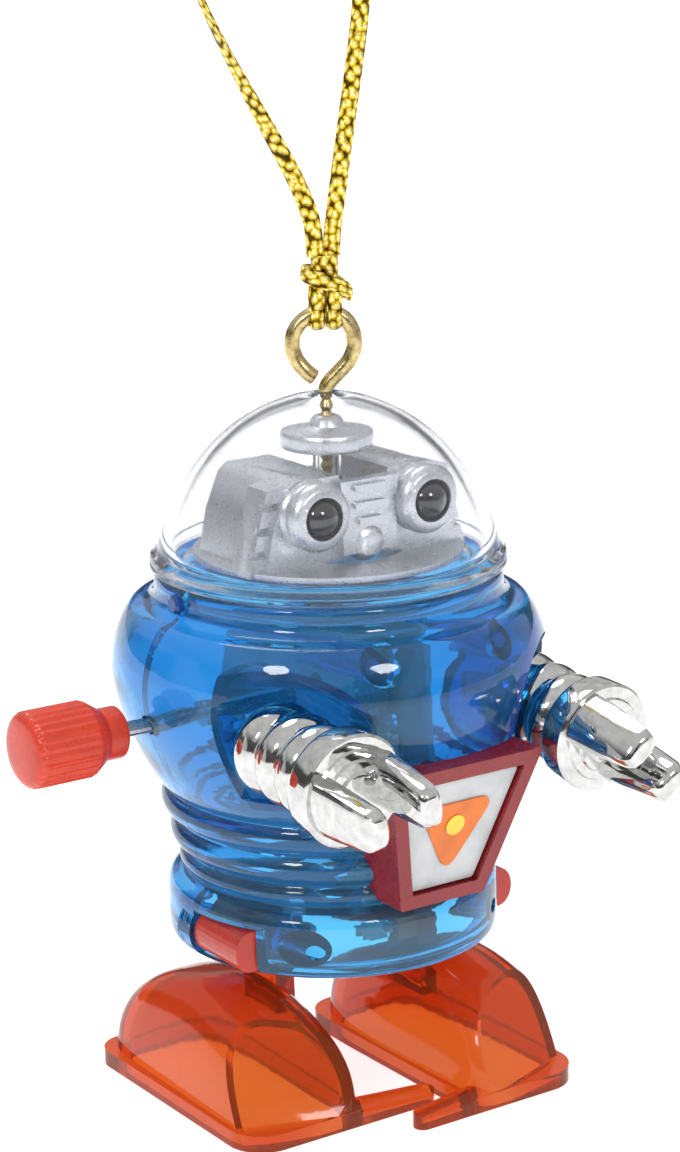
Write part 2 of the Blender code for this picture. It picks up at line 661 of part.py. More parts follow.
def knob():
    x0, x1, neck = KNOB_NECK
    _, x2, body = KNOB_BODY
    _, x3, cap = KNOB_CAP
    item = turned("knob", [(0, x0), (neck - 0.3, x0), (neck, x0 - 0.3), (neck, x1 - 0.2), (0, x1 - 0.2)],
                  "X", WIND, 24)
    # fine lengthwise ridges around the grip, with bevelled ends
    rings = []
    n = KNOB_RIDGES * 2
    for x, base, depth in ((x1, neck + 0.1, 0.0), (x1 - 1.9, body, 0.22), (x2 + 0.5, body, 0.22),
                           (x2, body - 0.5, 0.1)):
        ring = []
        for k in range(n):
            a = TAU * k / n
            r = base - depth * (k % 2)
            ring.append((x, WIND[0] + r * math.cos(a), WIND[1] + r * math.sin(a)))
        rings.append(ring)
    verts = [v for ring in rings for v in ring]
    faces = [tuple(range(n)), tuple(range(3 * n, 4 * n))[::-1]]
    for level in range(3):
        faces += [(level * n + k, (level + 1) * n + k, (level + 1) * n + (k + 1) % n, level * n + (k + 1) % n)
                  for k in range(n)]
    grip = outward(solid("grip", verts, faces))
    add(item, grip)
    add(item, turned("cap", [(0, x2 + 0.3), (cap, x2 + 0.3), (cap, x3 + 0.3), (cap - 0.3, x3), (0, x3)],
                     "X", WIND, 24))
    cut(item, rod("bore", SHAFT_R + 0.02, -39.2, -20, "X", WIND, 16))
    return item


def crank_axle():
    return rod("crank_axle", SHAFT_R, -6.9, 6.9, "X", CRANK, 16)


def pin_place(sign):
    """The robot's right crank pin (sign -1) is at the rear, the left one at the front."""
    return (CRANK[0] - sign * CRANK_THROW, CRANK[1])


def crank_disc(name, sign):
    pin = pin_place(sign)
    x0, x1 = sorted((sign * 5.98, sign * 6.98))
    disc = prism(name, hull([(*CRANK, 2.1), (*pin, 1.25)], 20), x0, x1, "X")
    cut(disc, rod("bore", SHAFT_R + 0.03, x0 - 1, x1 + 1, "X", CRANK, 16))
    p0, p1 = sorted((sign * 6.5, sign * 10.3))
    return add(disc, rod("pin", SHAFT_R, p0, p1, "X", pin, 16))


DECK_BOTTOM, DECK_TOP = 25.7, 26.9


def frame():
    """Red inner frame: a deck with an opening for the movement, and a tab at each side."""
    deck = turned("frame", [(0, DECK_BOTTOM), (16.9, DECK_BOTTOM), (16.0, DECK_TOP), (0, DECK_TOP)],
                  segments=40)
    cut(deck, block("well", (-10.9, -10.2, 20), (10.9, 9.2, 30)))
    reach, rear, front, low, high = TAB
    for sign in (-1, 1):
        tab = prism("tab", tab_section(sign, 14.9, reach, low, high), front, rear, "Y")
        riser = block("riser", (min(sign * 14.4, sign * 17.0), front, high - 1),
                      (max(sign * 14.4, sign * 17.0), rear, DECK_BOTTOM + 0.6))
        add(tab, keep(riser, rod("inside", 16.7, 20, 30, "Z", (0, 0), ROUND)))
        add(deck, tab)
    return deck


# ---- feet -----------------------------------------------------------------------------------
def sole_outline():
    """Plan of the robot's left foot without its toe bar, its crank pin at the rear."""
    return (arc((FOOT_OUT - 3.4, HEEL - 3.4), 3.4, 0, 90, 6)
            + arc((9.2, HEEL - 4.2), 4.2, 90, 170, 6)
            + [(5.0, 9.0), (5.3, TOE_FRONT + 2.0)]
            + arc((7.3, TOE_FRONT + 2.0), 2.0, 180, 270, 4)
            + arc((FOOT_OUT - 4.6, TOE_FRONT + 4.6), 4.6, -90, 0, 8))


def toe_bar(reach):
    """Tapered round-ended bar that runs inwards from the sole's front."""
    tip = 1.15
    plan = [(9.0, TOE_FRONT), (9.0, TOE_FRONT + 3.3)] + arc((tip - reach, TOE_FRONT + tip), tip, 95, 270, 9)
    bar = prism("toe_bar", plan, 0.0, 4.0, "Z")
    # its top slopes down to the tip and is rounded across
    section = [(TOE_FRONT - 1.0, -1.0), (TOE_FRONT - 1.0, 0.45), (TOE_FRONT, 0.55), (TOE_FRONT + 0.35, 0.85),
               (TOE_FRONT + 1.1, 1.0), (TOE_FRONT + 1.9, 0.95), (TOE_FRONT + 2.6, 0.8),
               (TOE_FRONT + 5.0, 0.6), (TOE_FRONT + 5.0, -1.0)]
    verts = []
    for x, high in ((-reach - 1.0, 1.7), (9.5, 3.1)):
        verts += [(x, y, level * high if level > 0 else level) for y, level in section]
    n = len(section)
    faces = [tuple(range(n)), tuple(range(2 * n - 1, n - 1, -1))]
    faces += [(k, n + k, n + (k + 1) % n, (k + 1) % n) for k in range(n)]
    return keep(bar, outward(solid("slope", verts, faces)))


BOOT = [  # y, inner x, outer x, height: from the heel to the toe
    (18.9, 9.8, 18.4, 4.8), (18.0, 7.9, 20.0, 7.7), (15.8, 6.4, 20.8, 10.5), (12.0, 5.8, 21.0, 12.9),
    (6.5, 5.6, 21.1, 14.2), (0.0, 5.7, 21.2, 14.7), (-5.0, 5.9, 21.3, 13.9), (-9.5, 6.0, 21.3, 12.4),
    (-12.4, 6.1, 21.2, 10.4), (-14.2, 6.7, 20.9, 8.2), (-15.0, 7.8, 20.2, 6.0)]


def boot_loft(name, inset, floor):
    """Rounded upper lofted through the stations."""
    around = 20
    verts = []
    for y, inner, outer, height in BOOT:
        cx, half = (inner + outer) / 2, (outer - inner) / 2
        for k in range(around + 1):
            a = math.pi * k / around
            c, s = math.cos(a), math.sin(a)
            x = cx + (half - inset) * math.copysign(abs(c) ** 0.62, c)
            z = floor + (height - inset - floor) * abs(s) ** 0.62
            verts.append((x, y - inset * y / 17, z))
    n = around + 1
    faces = [tuple(range(n)), tuple(range(len(BOOT) * n - 1, (len(BOOT) - 1) * n - 1, -1))]
    for level in range(len(BOOT) - 1):
        a, b = level * n, (level + 1) * n
        faces += [(a + k, b + k, b + (k + 1) % n, a + (k + 1) % n) for k in range(n)]
    return outward(solid(name, verts, faces))


def toe_cut(name, back):
    """Half space in front of the sloping, outward-turned toe face."""
    slab = block(name, (-40, -40, -30), (40, 0, 40))
    turn = Matrix.Rotation(math.radians(20), 4, "Z") @ Matrix.Rotation(math.radians(-24), 4, "X")
    moved(slab, Matrix.Translation(Vector((12.6 * MM, (TOE_FRONT + 1.2 + back) * MM, SOLE_T * MM))) @ turn)
    return slab


def left_foot(name, reach):
    """Boot, sole, toe bar and leg in one moulding; built with its crank pin at the rear."""
    upper = boot_loft(name, 0.0, 0.0)
    cut(upper, toe_cut("toe_face", 0.0))
    sole = prism("sole", sole_outline(), 0.0, SOLE_T, "Z")
    add(upper, sole, toe_bar(reach))
    hollow = boot_loft("hollow", 1.15, -1.0)
    cut(hollow, toe_cut("toe_face", 1.15))
    cut(upper, hollow)
    pin = (CRANK[0] + CRANK_THROW, CRANK[1])
    leg = [(pin[0] - 3.6, 10.0), (pin[0] + 3.6, 10.0), (pin[0] + 3.2, 17.0)]
    leg += arc(pin, 2.6, 0, 180, 10) + [(pin[0] - 3.2, 17.0)]
    add(upper, prism("leg", leg, LEG_IN, LEG_OUT, "X"))
    cut(upper, rod("pin_way", SHAFT_R + 0.08, LEG_IN - 1, LEG_OUT + 1, "X", pin, 16))
    return upper


# ---- chest box ------------------------------------------------------------------------------
BOX_LOW, BOX_HIGH = (-22.0, 28.2, 5.8), (-27.0, 45.8, 10.4)   # front face: y, z, half width
BOX_PEGS = (35.9, 43.5)


def box_face_place(z):
    """y and half width of the box's front face at a height."""
    t = (z - BOX_LOW[1]) / (BOX_HIGH[1] - BOX_LOW[1])
    return (BOX_LOW[0] + t * (BOX_HIGH[0] - BOX_LOW[0]), BOX_LOW[2] + t * (BOX_HIGH[2] - BOX_LOW[2]))


def tilted_panel(name, corners, depth_front, depth_back):
    """A panel parallel to the box's sloping face. corners are (x, z); depths count inwards."""
    verts = []
    for depth in (depth_front, depth_back):
        for x, z in corners:
            verts.append((x, box_face_place(z)[0] + depth, z))
    n = len(corners)
    faces = [tuple(range(n)), tuple(range(2 * n - 1, n - 1, -1))]
    faces += [(i, n + i, n + (i + 1) % n, (i + 1) % n) for i in range(n)]
    return outward(solid(name, verts, faces))


def rounded(corners, radius, steps=3):
    """Round the corners of a closed outline."""
    out = []
    count = len(corners)
    for i, here in enumerate(corners):
        p = Vector(here)
        before = (Vector(corners[i - 1]) - p).normalized()
        after = (Vector(corners[(i + 1) % count]) - p).normalized()
        half = before.angle(after) / 2
        reach = radius / math.tan(half)
        a, b = p + before * reach, p + after * reach
        for k in range(steps + 1):
            t = k / steps
            out.append(tuple((1 - t) ** 2 * a + 2 * t * (1 - t) * p + t ** 2 * b))
    return out


def box_corners(margin):
    """The face's trapezoid, drawn in by a margin."""
    low, high = BOX_LOW[1] + margin, BOX_HIGH[1] - margin
    w0 = box_face_place(low)[1] - margin
    w1 = box_face_place(high)[1] - margin
    return [(-w0, low), (w0, low), (w1, high), (-w1, high)]


def chest_box():
    item = tilted_panel("chest_box", rounded(box_corners(0), 0.5, 2), 0, 12)
    cut(item, body_solid("body", 0.08))
    cut(item, tilted_panel("recess", rounded(box_corners(1.75), 0.35, 2), -1, 1.3))
    for z in BOX_PEGS:
        root = box_face_place(z)[0] + 2.3
        add(item, rod("peg", 0.92, root, root + 5.5, "Y", (0, z), 12))
    return item


def chest_label():
    return tilted_panel("chest_label", rounded(box_corners(2.0), 0.5, 3), 0.75, 1.27)


def chest_badge():
    """Rounded triangle, point down."""
    return tilted_panel("chest_badge", rounded([(-5.3, 40.9), (0.0, 31.6), (5.3, 40.9)], 1.5, 5), 0.5, 0.74)


def badge_dot():
    return tilted_panel("badge_dot", arc((0, 38.0), 1.25, 0, 360, 18)[:-1], 0.35, 0.49)


# ---- arms -----------------------------------------------------------------------------------
def jaw(side):
    """One half-barrel finger: flat inside, round outside, narrowing to a flat end."""
    verts = []
    for t, inner, radius, half in ((WRIST_FRONT - 0.4, 2.1, 5.9, 3.1), (ARM_END, 1.95, 4.8, 2.2)):
        spread = math.degrees(math.asin(half / radius))
        section = [(inner, -half)] + arc((0, 0), radius, -spread, spread, 8) + [(inner, half)]
        verts += [(ARM_X + side * a, ARM_Y - t, ARM_Z + b) for a, b in section]
    n = len(verts) // 2
    faces = [tuple(range(n)), tuple(range(2 * n - 1, n - 1, -1))]
    faces += [(k, n + k, n + (k + 1) % n, (k + 1) % n) for k in range(n)]
    return outward(solid("jaw", verts, faces))


WRIST_FRONT = 21.0


def arm(name, roll):
    """The robot's left arm, level: lug, three ribs, wrist disc and a two-jaw claw along -Y."""
    def y(t):
        return ARM_Y - t
    outline = [(0, y(3.9)), (3.6, y(3.9)), (ARM_R - 0.7, y(4.2))]
    for start, end in ((4.2, 8.7), (8.7, 12.5), (12.5, 16.3)):
        for part, dip in ((0.12, 0.3), (0.3, 0.05), (0.5, 0.0), (0.7, 0.15), (0.85, 0.5), (0.95, 1.1)):
            outline.append((ARM_R - dip, y(start + part * (end - start))))
    outline += [(ARM_R - 1.0, y(16.9)), (5.7, y(17.3)), (WRIST_R - 0.1, y(17.7)), (WRIST_R, y(18.1)),
                (WRIST_R, y(WRIST_FRONT - 0.3)), (WRIST_R - 0.3, y(WRIST_FRONT)), (4.2, y(WRIST_FRONT)),
                (4.0, y(21.4)), (2.5, y(21.5)), (2.2, y(22.1)), (0.9, y(22.3)), (0, y(22.3))]
    item = turned(name, outline, "Y", (ARM_X, ARM_Z), 24)
    claw = [jaw(-1), jaw(1)]
    centre = Vector((ARM_X, 0, ARM_Z)) * MM
    twist = (Matrix.Translation(centre) @ Matrix.Rotation(math.radians(-roll), 4, "Y")
             @ Matrix.Translation(-centre))
    for finger in claw:
        add(item, moved(finger, twist))
    lug = arc((ARM_Y, ARM_Z), 1.45, -90, 90, 6) + [(y(4.2), ARM_Z + 1.7), (y(4.2), ARM_Z - 1.7)]
    add(item, prism("lug", lug, ARM_X - 1.2, ARM_X + 1.2, "X"))
    cut(item, rod("pin_way", 0.78, ARM_X - 2, ARM_X + 2, "X", (ARM_Y, ARM_Z), 12))
    return item


# ---- assembly -------------------------------------------------------------------------------
def place_on_origin(nodes, left_out):
    """Move the whole robot so that its box stands on the origin, its cord not counted."""
    low = Vector((1e9, 1e9, 1e9))
    high = -low
    bpy.context.view_layer.update()
    for item in nodes:
        if item.name in left_out:
            continue
        for corner in item.bound_box:
            low = Vector(map(min, low, corner))
            high = Vector(map(max, high, corner))
    shift = Vector((-(low.x + high.x) / 2, -(low.y + high.y) / 2, -low.z))
    for item in nodes:
        item.data.transform(Matrix.Translation(shift))
    return shift


def set_origin(item, point, shift):
    """Put a moving piece's origin on its joint axis."""
    spot = Vector(point) * MM + shift
    item.data.transform(Matrix.Translation(-spot))
    item.location = spot


def main():
    clear_scene()
    arm_left = moved(arm("arm_left", LEFT_ROLL), about_x((ARM_Y, ARM_Z), LEFT_DROOP))
    arm_right = mirrored(arm("arm_blank", RIGHT_ROLL), "arm_right")
    moved(arm_right, about_x((ARM_Y, ARM_Z), RIGHT_DROOP))
    foot_left = left_foot("foot_left", LEFT_REACH)
    foot_right = mirrored(left_foot("foot_blank", RIGHT_REACH), "foot_right")
    moved(foot_left, Matrix.Translation(Vector((0, -2 * CRANK_THROW * MM, 0))))
    nodes = [
        front_shell(), rear_shell(), dome(), head(), eye("eye_right", -1), eye("eye_left", 1),
        antenna_disc(), antenna_tube(), screw_eye(), cord_knot(),
        chest_box(), chest_label(), chest_badge(), badge_dot(), frame(),
        motor_plate("motor_plate_right", -1), motor_plate("motor_plate_left", 1),
        main_gear(), mainspring(), winding_arbor(), knob(), second_pinion(), second_wheel(),
        crank_axle(), crank_pinion(), crank_disc("crank_disc_right", -1), crank_disc("crank_disc_left", 1),
        escape_wheel(), pallet(), arm_left, arm_right, foot_left, foot_right,
        dome_pin("dome_pin_right", -1), dome_pin("dome_pin_left", 1)]
    for name, sign in (("shoulder_pin_right", -1), ("shoulder_pin_left", 1)):
        nodes.append(rod(name, 0.72, sign * ARM_X - 3.1, sign * ARM_X + 3.1, "X", (ARM_Y, ARM_Z), 12))
    for label, (x, z, _), seat in (("lower", LOWER_BOSS, 9.0), ("upper", UPPER_BOSS, 15.0)):
        for side, sign in (("right", -1), ("left", 1)):
            nodes.append(shell_screw("screw_" + label + "_" + side, sign * x, z, seat))
    route = cord_route()
    cord = bent_wire("hanging_cord", route, CORD_R, 8)
    nodes.append(cord)
    shift = place_on_origin(nodes, {"hanging_cord", "cord_knot"})
    pins = {"foot_right": (-8.5, *pin_place(-1)), "foot_left": (8.5, *pin_place(1)),
            "arm_right": (-ARM_X, ARM_Y, ARM_Z), "arm_left": (ARM_X, ARM_Y, ARM_Z),
            "crank_axle": (0, *CRANK), "crank_pinion": (0, *CRANK), "crank_disc_right": (0, *CRANK),
            "crank_disc_left": (0, *CRANK), "main_gear": (0, *WIND), "winding_arbor": (0, *WIND),
            "knob": (0, *WIND), "second_pinion": (0, *SECOND), "second_wheel": (0, *SECOND),
            "escape_wheel": (0, *ESCAPE), "pallet": (0, *PALLET)}
    for item in nodes:
        if item.name in pins:
            set_origin(item, pins[item.name], shift)
    return nodes, shift


main()
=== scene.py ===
"""Looks of a wind-up walking robot ornament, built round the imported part.

Lengths are millimetres in the robot's own frame (x = 0, y = 0 is the round body's axis, z = 0 the soles,
-Y the front) until place() or MM turns them into metres in the row's frame.
"""
import json
import math

import bpy
import bmesh
from mathutils import Matrix, Vector


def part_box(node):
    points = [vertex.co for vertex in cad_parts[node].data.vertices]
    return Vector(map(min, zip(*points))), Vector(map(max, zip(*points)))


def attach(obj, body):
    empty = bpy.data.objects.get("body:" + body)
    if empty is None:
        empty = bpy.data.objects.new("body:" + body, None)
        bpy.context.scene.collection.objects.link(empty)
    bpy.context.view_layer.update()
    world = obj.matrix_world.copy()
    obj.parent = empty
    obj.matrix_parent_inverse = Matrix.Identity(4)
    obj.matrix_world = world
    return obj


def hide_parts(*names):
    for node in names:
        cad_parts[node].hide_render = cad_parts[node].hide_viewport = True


MM = 0.001
TAU = 2 * math.pi
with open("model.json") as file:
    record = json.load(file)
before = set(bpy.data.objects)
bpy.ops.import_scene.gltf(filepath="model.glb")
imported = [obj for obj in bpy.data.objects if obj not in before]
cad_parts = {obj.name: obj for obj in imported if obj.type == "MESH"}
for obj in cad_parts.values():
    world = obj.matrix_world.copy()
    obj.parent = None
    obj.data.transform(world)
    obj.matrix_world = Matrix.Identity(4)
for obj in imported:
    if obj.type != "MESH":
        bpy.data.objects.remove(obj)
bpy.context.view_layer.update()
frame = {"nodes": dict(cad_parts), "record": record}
NODES = frame["nodes"]

_low, _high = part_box("dome")
AXIS = Vector(((_low.x + _high.x) / 2, (_low.y + _high.y) / 2, 0))   # the body's axis in the row's frame


def place(x, y, z):
    return Vector((x * MM + AXIS.x, y * MM + AXIS.y, z * MM))


# ---- mesh kit --------------------------------------------------------------------------------
def obj_from(name, verts, faces):
    mesh = bpy.data.meshes.new(name)
    mesh.from_pydata([tuple(place(*v)) for v in verts], [], faces)
    mesh.update()
    item = bpy.data.objects.new(name, mesh)
    bpy.context.scene.collection.objects.link(item)
    return item


def outward(item):
    work = bmesh.new()
    work.from_mesh(item.data)
    bmesh.ops.recalc_face_normals(work, faces=work.faces)
    if work.calc_volume(signed=True) < 0:
        bmesh.ops.reverse_faces(work, faces=work.faces)
    work.to_mesh(item.data)
    work.free()
    return item


def axis_point(axis, a, b, h):
    return {"X": (h, a, b), "Y": (a, h, b), "Z": (a, b, h)}[axis]


def prism(name, outline, lo, hi, axis):
    n = len(outline)
    verts = [axis_point(axis, a, b, lo) for a, b in outline]
    verts += [axis_point(axis, a, b, hi) for a, b in outline]
    faces = [tuple(range(n - 1, -1, -1)), tuple(range(n, 2 * n))]
    faces += [(i, (i + 1) % n, n + (i + 1) % n, n + i) for i in range(n)]
    return outward(obj_from(name, verts, faces))


def turned(name, profile, axis="Z", centre=(0, 0), segments=96):
    """Revolve a closed outline of (radius, height) points; radius 0 points sit on the axis."""
    verts, rings = [], []
    for radius, height in profile:
        if radius == 0:
            verts.append(axis_point(axis, centre[0], centre[1], height))
            rings.append([len(verts) - 1] * segments)
            continue
        start = len(verts)
        for k in range(segments):
            angle = TAU * k / segments
            verts.append(axis_point(axis, centre[0] + radius * math.cos(angle),
                                    centre[1] + radius * math.sin(angle), height))
        rings.append(list(range(start, start + segments)))
    faces = []
    for a, b in zip(rings, rings[1:] + rings[:1]):
        if a[0] == a[1] and b[0] == b[1]:
            continue
        for k in range(segments):
            j = (k + 1) % segments
            ring = []
            for v in (a[k], a[j], b[j], b[k]):
                if v not in ring:
                    ring.append(v)
            faces.append(tuple(ring))
    return outward(obj_from(name, verts, faces))


def rod(name, radius, lo, hi, axis, centre=(0, 0), segments=32):
    return turned(name, [(0, lo), (radius, lo), (radius, hi), (0, hi)], axis, centre, segments)


def block(name, lo, hi):
    (x0, y0, z0), (x1, y1, z1) = lo, hi
    return prism(name, [(x0, y0), (x1, y0), (x1, y1), (x0, y1)], z0, z1, "Z")


def combine(item, other, operation):
    step = item.modifiers.new("step", "BOOLEAN")
    step.operation = operation
    step.solver = "EXACT"
    step.object = other
    bpy.context.view_layer.update()
    made = item.evaluated_get(bpy.context.evaluated_depsgraph_get())
    mesh = bpy.data.meshes.new_from_object(made)
    item.modifiers.clear()
    item.data = mesh
    bpy.data.objects.remove(other, do_unlink=True)
    return item


def add(item, *others):
    for other in others:
        combine(item, other, "UNION")
    return item


def cut(item, *others):
    for other in others:
        combine(item, other, "DIFFERENCE")
    return item


def keep(item, other):
    return combine(item, other, "INTERSECT")


def arc(centre, radius, start, end, steps):
    return [(centre[0] + radius * math.cos(math.radians(start + (end - start) * k / steps)),
             centre[1] + radius * math.sin(math.radians(start + (end - start) * k / steps)))
            for k in range(steps + 1)]


def softened(points, rounds=2, closed=False):
    """Corner cutting, with the two ends held unless the outline is closed."""
    for _ in range(rounds):
        out = [] if closed else [points[0]]
        ring = list(zip(points, points[1:] + (points[:1] if closed else [])))
        for k, (a, b) in enumerate(ring):
            if closed or k > 0:
                out.append(tuple(0.75 * p + 0.25 * q for p, q in zip(a, b)))
            if closed or k < len(ring) - 1:
                out.append(tuple(0.25 * p + 0.75 * q for p, q in zip(a, b)))
        if not closed:
            out.append(points[-1])
        points = out
    return points


def smooth(item, angle=32.0):
    """Shade smooth, with edges sharper than the angle kept crisp."""
    mesh = item.data
    mesh.polygons.foreach_set("use_smooth", [True] * len(mesh.polygons))
    mesh.set_sharp_from_angle(angle=math.radians(angle))
    return item


def piece(item, material, body, slot, *stands_for, angle=32.0):
    """Give a finished mesh its material and body, and hide the CAD nodes it stands for; the slot is not used.
    """
    item.data.materials.clear()
    item.data.materials.append(material)
    smooth(item, angle)
    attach(item, body)
    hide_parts(*stands_for)
    return item


# ---- materials -------------------------------------------------------------------------------
class Shader:
    """A material under construction, with its Principled node and object coordinates in millimetres."""

    def __init__(self, name, **settings):
        self.material = bpy.data.materials.new(name)
        self.material.use_nodes = True
        self.tree = self.material.node_tree
        self.tree.nodes.clear()
        self.out = self.node("ShaderNodeOutputMaterial")
        self.main = self.node("ShaderNodeBsdfPrincipled")
        self.link(self.main, "BSDF", self.out, "Surface")
        coords = self.node("ShaderNodeTexCoord")
        scale = self.node("ShaderNodeVectorMath")
        scale.operation = "SCALE"
        scale.inputs["Scale"].default_value = 1000.0
        self.link(coords, "Object", scale, 0)
        self.coords = scale
        for key, value in settings.items():
            self.set(key.replace("_", " "), value)

    def node(self, kind, **values):
        made = self.tree.nodes.new(kind)
        for key, value in values.items():
            setattr(made, key, value)
        return made

    def link(self, source, output, target, socket):
        self.tree.links.new(source.outputs[output], target.inputs[socket])

    def set(self, socket, value):
        for item in self.main.inputs:
            if item.name.lower() == socket.lower():
                item.default_value = (*value, 1.0) if isinstance(value, tuple) and len(value) == 3 else value
                return
        raise KeyError(socket)

    def noise(self, scale, detail=2.0, rough=0.5, stretch=None):
        made = self.node("ShaderNodeTexNoise")
        made.inputs["Scale"].default_value = scale
        made.inputs["Detail"].default_value = detail
        made.inputs["Roughness"].default_value = rough
        source = self.coords
        if stretch:
            source = self.node("ShaderNodeVectorMath", operation="MULTIPLY")
            source.inputs[1].default_value = stretch
            self.link(self.coords, 0, source, 0)
        self.link(source, 0, made, "Vector")
        return made

    def ramp(self, source, stops, output="Fac"):
        made = self.node("ShaderNodeValToRGB")
        band = made.color_ramp
        while len(band.elements) < len(stops):
            band.elements.new(0.5)
        for element, (at, value) in zip(band.elements, stops):
            element.position = at
            element.color = (*value, 1.0) if isinstance(value, tuple) else (value, value, value, 1.0)
        self.link(source, output, made, "Fac")
        return made

    def rough(self, low, high, scale):
        """Roughness that wanders between two values."""
        self.link(self.ramp(self.noise(scale, 4.0, 0.6), [(0.3, low), (0.7, high)]),
                  "Color", self.main, "Roughness")

    def bump(self, source, output, distance):
        """Add a bump, in millimetres; bumps stack."""
        made = self.node("ShaderNodeBump")
        made.inputs["Distance"].default_value = distance * MM
        made.inputs["Strength"].default_value = 1.0
        self.link(source, output, made, "Height")
        if self.main.inputs["Normal"].is_linked:
            self.tree.links.new(self.main.inputs["Normal"].links[0].from_socket, made.inputs["Normal"])
        self.link(made, "Normal", self.main, "Normal")

    def tone(self, stops, scale, stretch=None):
        """Base colour that wanders through a ramp."""
        wander = self.ramp(self.noise(scale, 3.0, 0.55, stretch), stops)
        self.link(wander, "Color", self.main, "Base Color")

    def clear(self, tint, absorb=None, density=0.0):
        """Let lamps and scattered light through the plastic, and colour it by depth."""
        path = self.node("ShaderNodeLightPath")
        either = self.node("ShaderNodeMath", operation="MAXIMUM")
        self.link(path, "Is Shadow Ray", either, 0)
        self.link(path, "Is Diffuse Ray", either, 1)
        through = self.node("ShaderNodeBsdfTransparent")
        through.inputs["Color"].default_value = (*tint, 1.0)
        blend = self.node("ShaderNodeMixShader")
        self.link(either, 0, blend, 0)
        self.link(self.main, "BSDF", blend, 1)
        self.link(through, "BSDF", blend, 2)
        self.link(blend, "Shader", self.out, "Surface")
        if absorb:
            depth = self.node("ShaderNodeVolumeAbsorption")
            depth.inputs["Color"].default_value = (*absorb, 1.0)
            depth.inputs["Density"].default_value = density
            self.link(depth, "Volume", self.out, "Volume")


def plastic(name, colour, low=0.22, high=0.34, grain=0.012):
    """Opaque moulded plastic: a fine orange-peel skin and slightly uneven gloss."""
    made = Shader(name, Base_Color=colour, IOR=1.5)
    shade = [tuple(c * k for c in colour) for k in (0.86, 1.0, 1.1)]
    made.tone([(0.3, shade[0]), (0.5, shade[1]), (0.72, shade[2])], 0.35)
    made.rough(low, high, 0.9)
    made.bump(made.noise(5.0, 3.0), "Fac", grain)
    return made.material


def braid():
    """Metallic braid: crossing ribbons, pale gold at each strand's middle and darkening to near black towards
    its edges, as painted shade in the gaps between strands.
    """
    made = Shader("gold_braid", Metallic=0.9, Roughness=0.28)
    place_on = made.node("ShaderNodeUVMap", uv_map="UVMap")
    cells = []
    for lean in (-38.0, 38.0):
        turn = made.node("ShaderNodeMapping")
        turn.inputs["Rotation"].default_value = (0, 0, math.radians(lean))
        turn.inputs["Scale"].default_value = (1.15, 0.75, 1.0)
        made.link(place_on, "UV", turn, "Vector")
        cell = made.node("ShaderNodeTexVoronoi", voronoi_dimensions="2D")
        cell.inputs["Scale"].default_value = 1.0
        cell.inputs["Randomness"].default_value = 0.45
        made.link(turn, "Vector", cell, "Vector")
        cells.append(cell)
    near = made.node("ShaderNodeMath", operation="MINIMUM")
    made.link(cells[0], "Distance", near, 0)
    made.link(cells[1], "Distance", near, 1)
    # painted shade: the base colour falls from gold to near black towards each strand's edge, where the gaps
    # between strands lie
    gold = [(0.12, (1.0, 0.90, 0.40)), (0.24, (0.95, 0.66, 0.07)), (0.36, (0.58, 0.37, 0.02)),
            (0.50, (0.06, 0.035, 0.003))]
    made.link(made.ramp(near, gold, "Value"), "Color", made.main, "Base Color")
    strand = made.node("ShaderNodeMath", operation="SUBTRACT")
    strand.inputs[0].default_value = 1.0
    made.link(near, "Value", strand, 1)
    made.bump(strand, "Value", 0.6)
    made.bump(made.noise(3.0, 2.0), "Fac", 0.1)
    return made.material


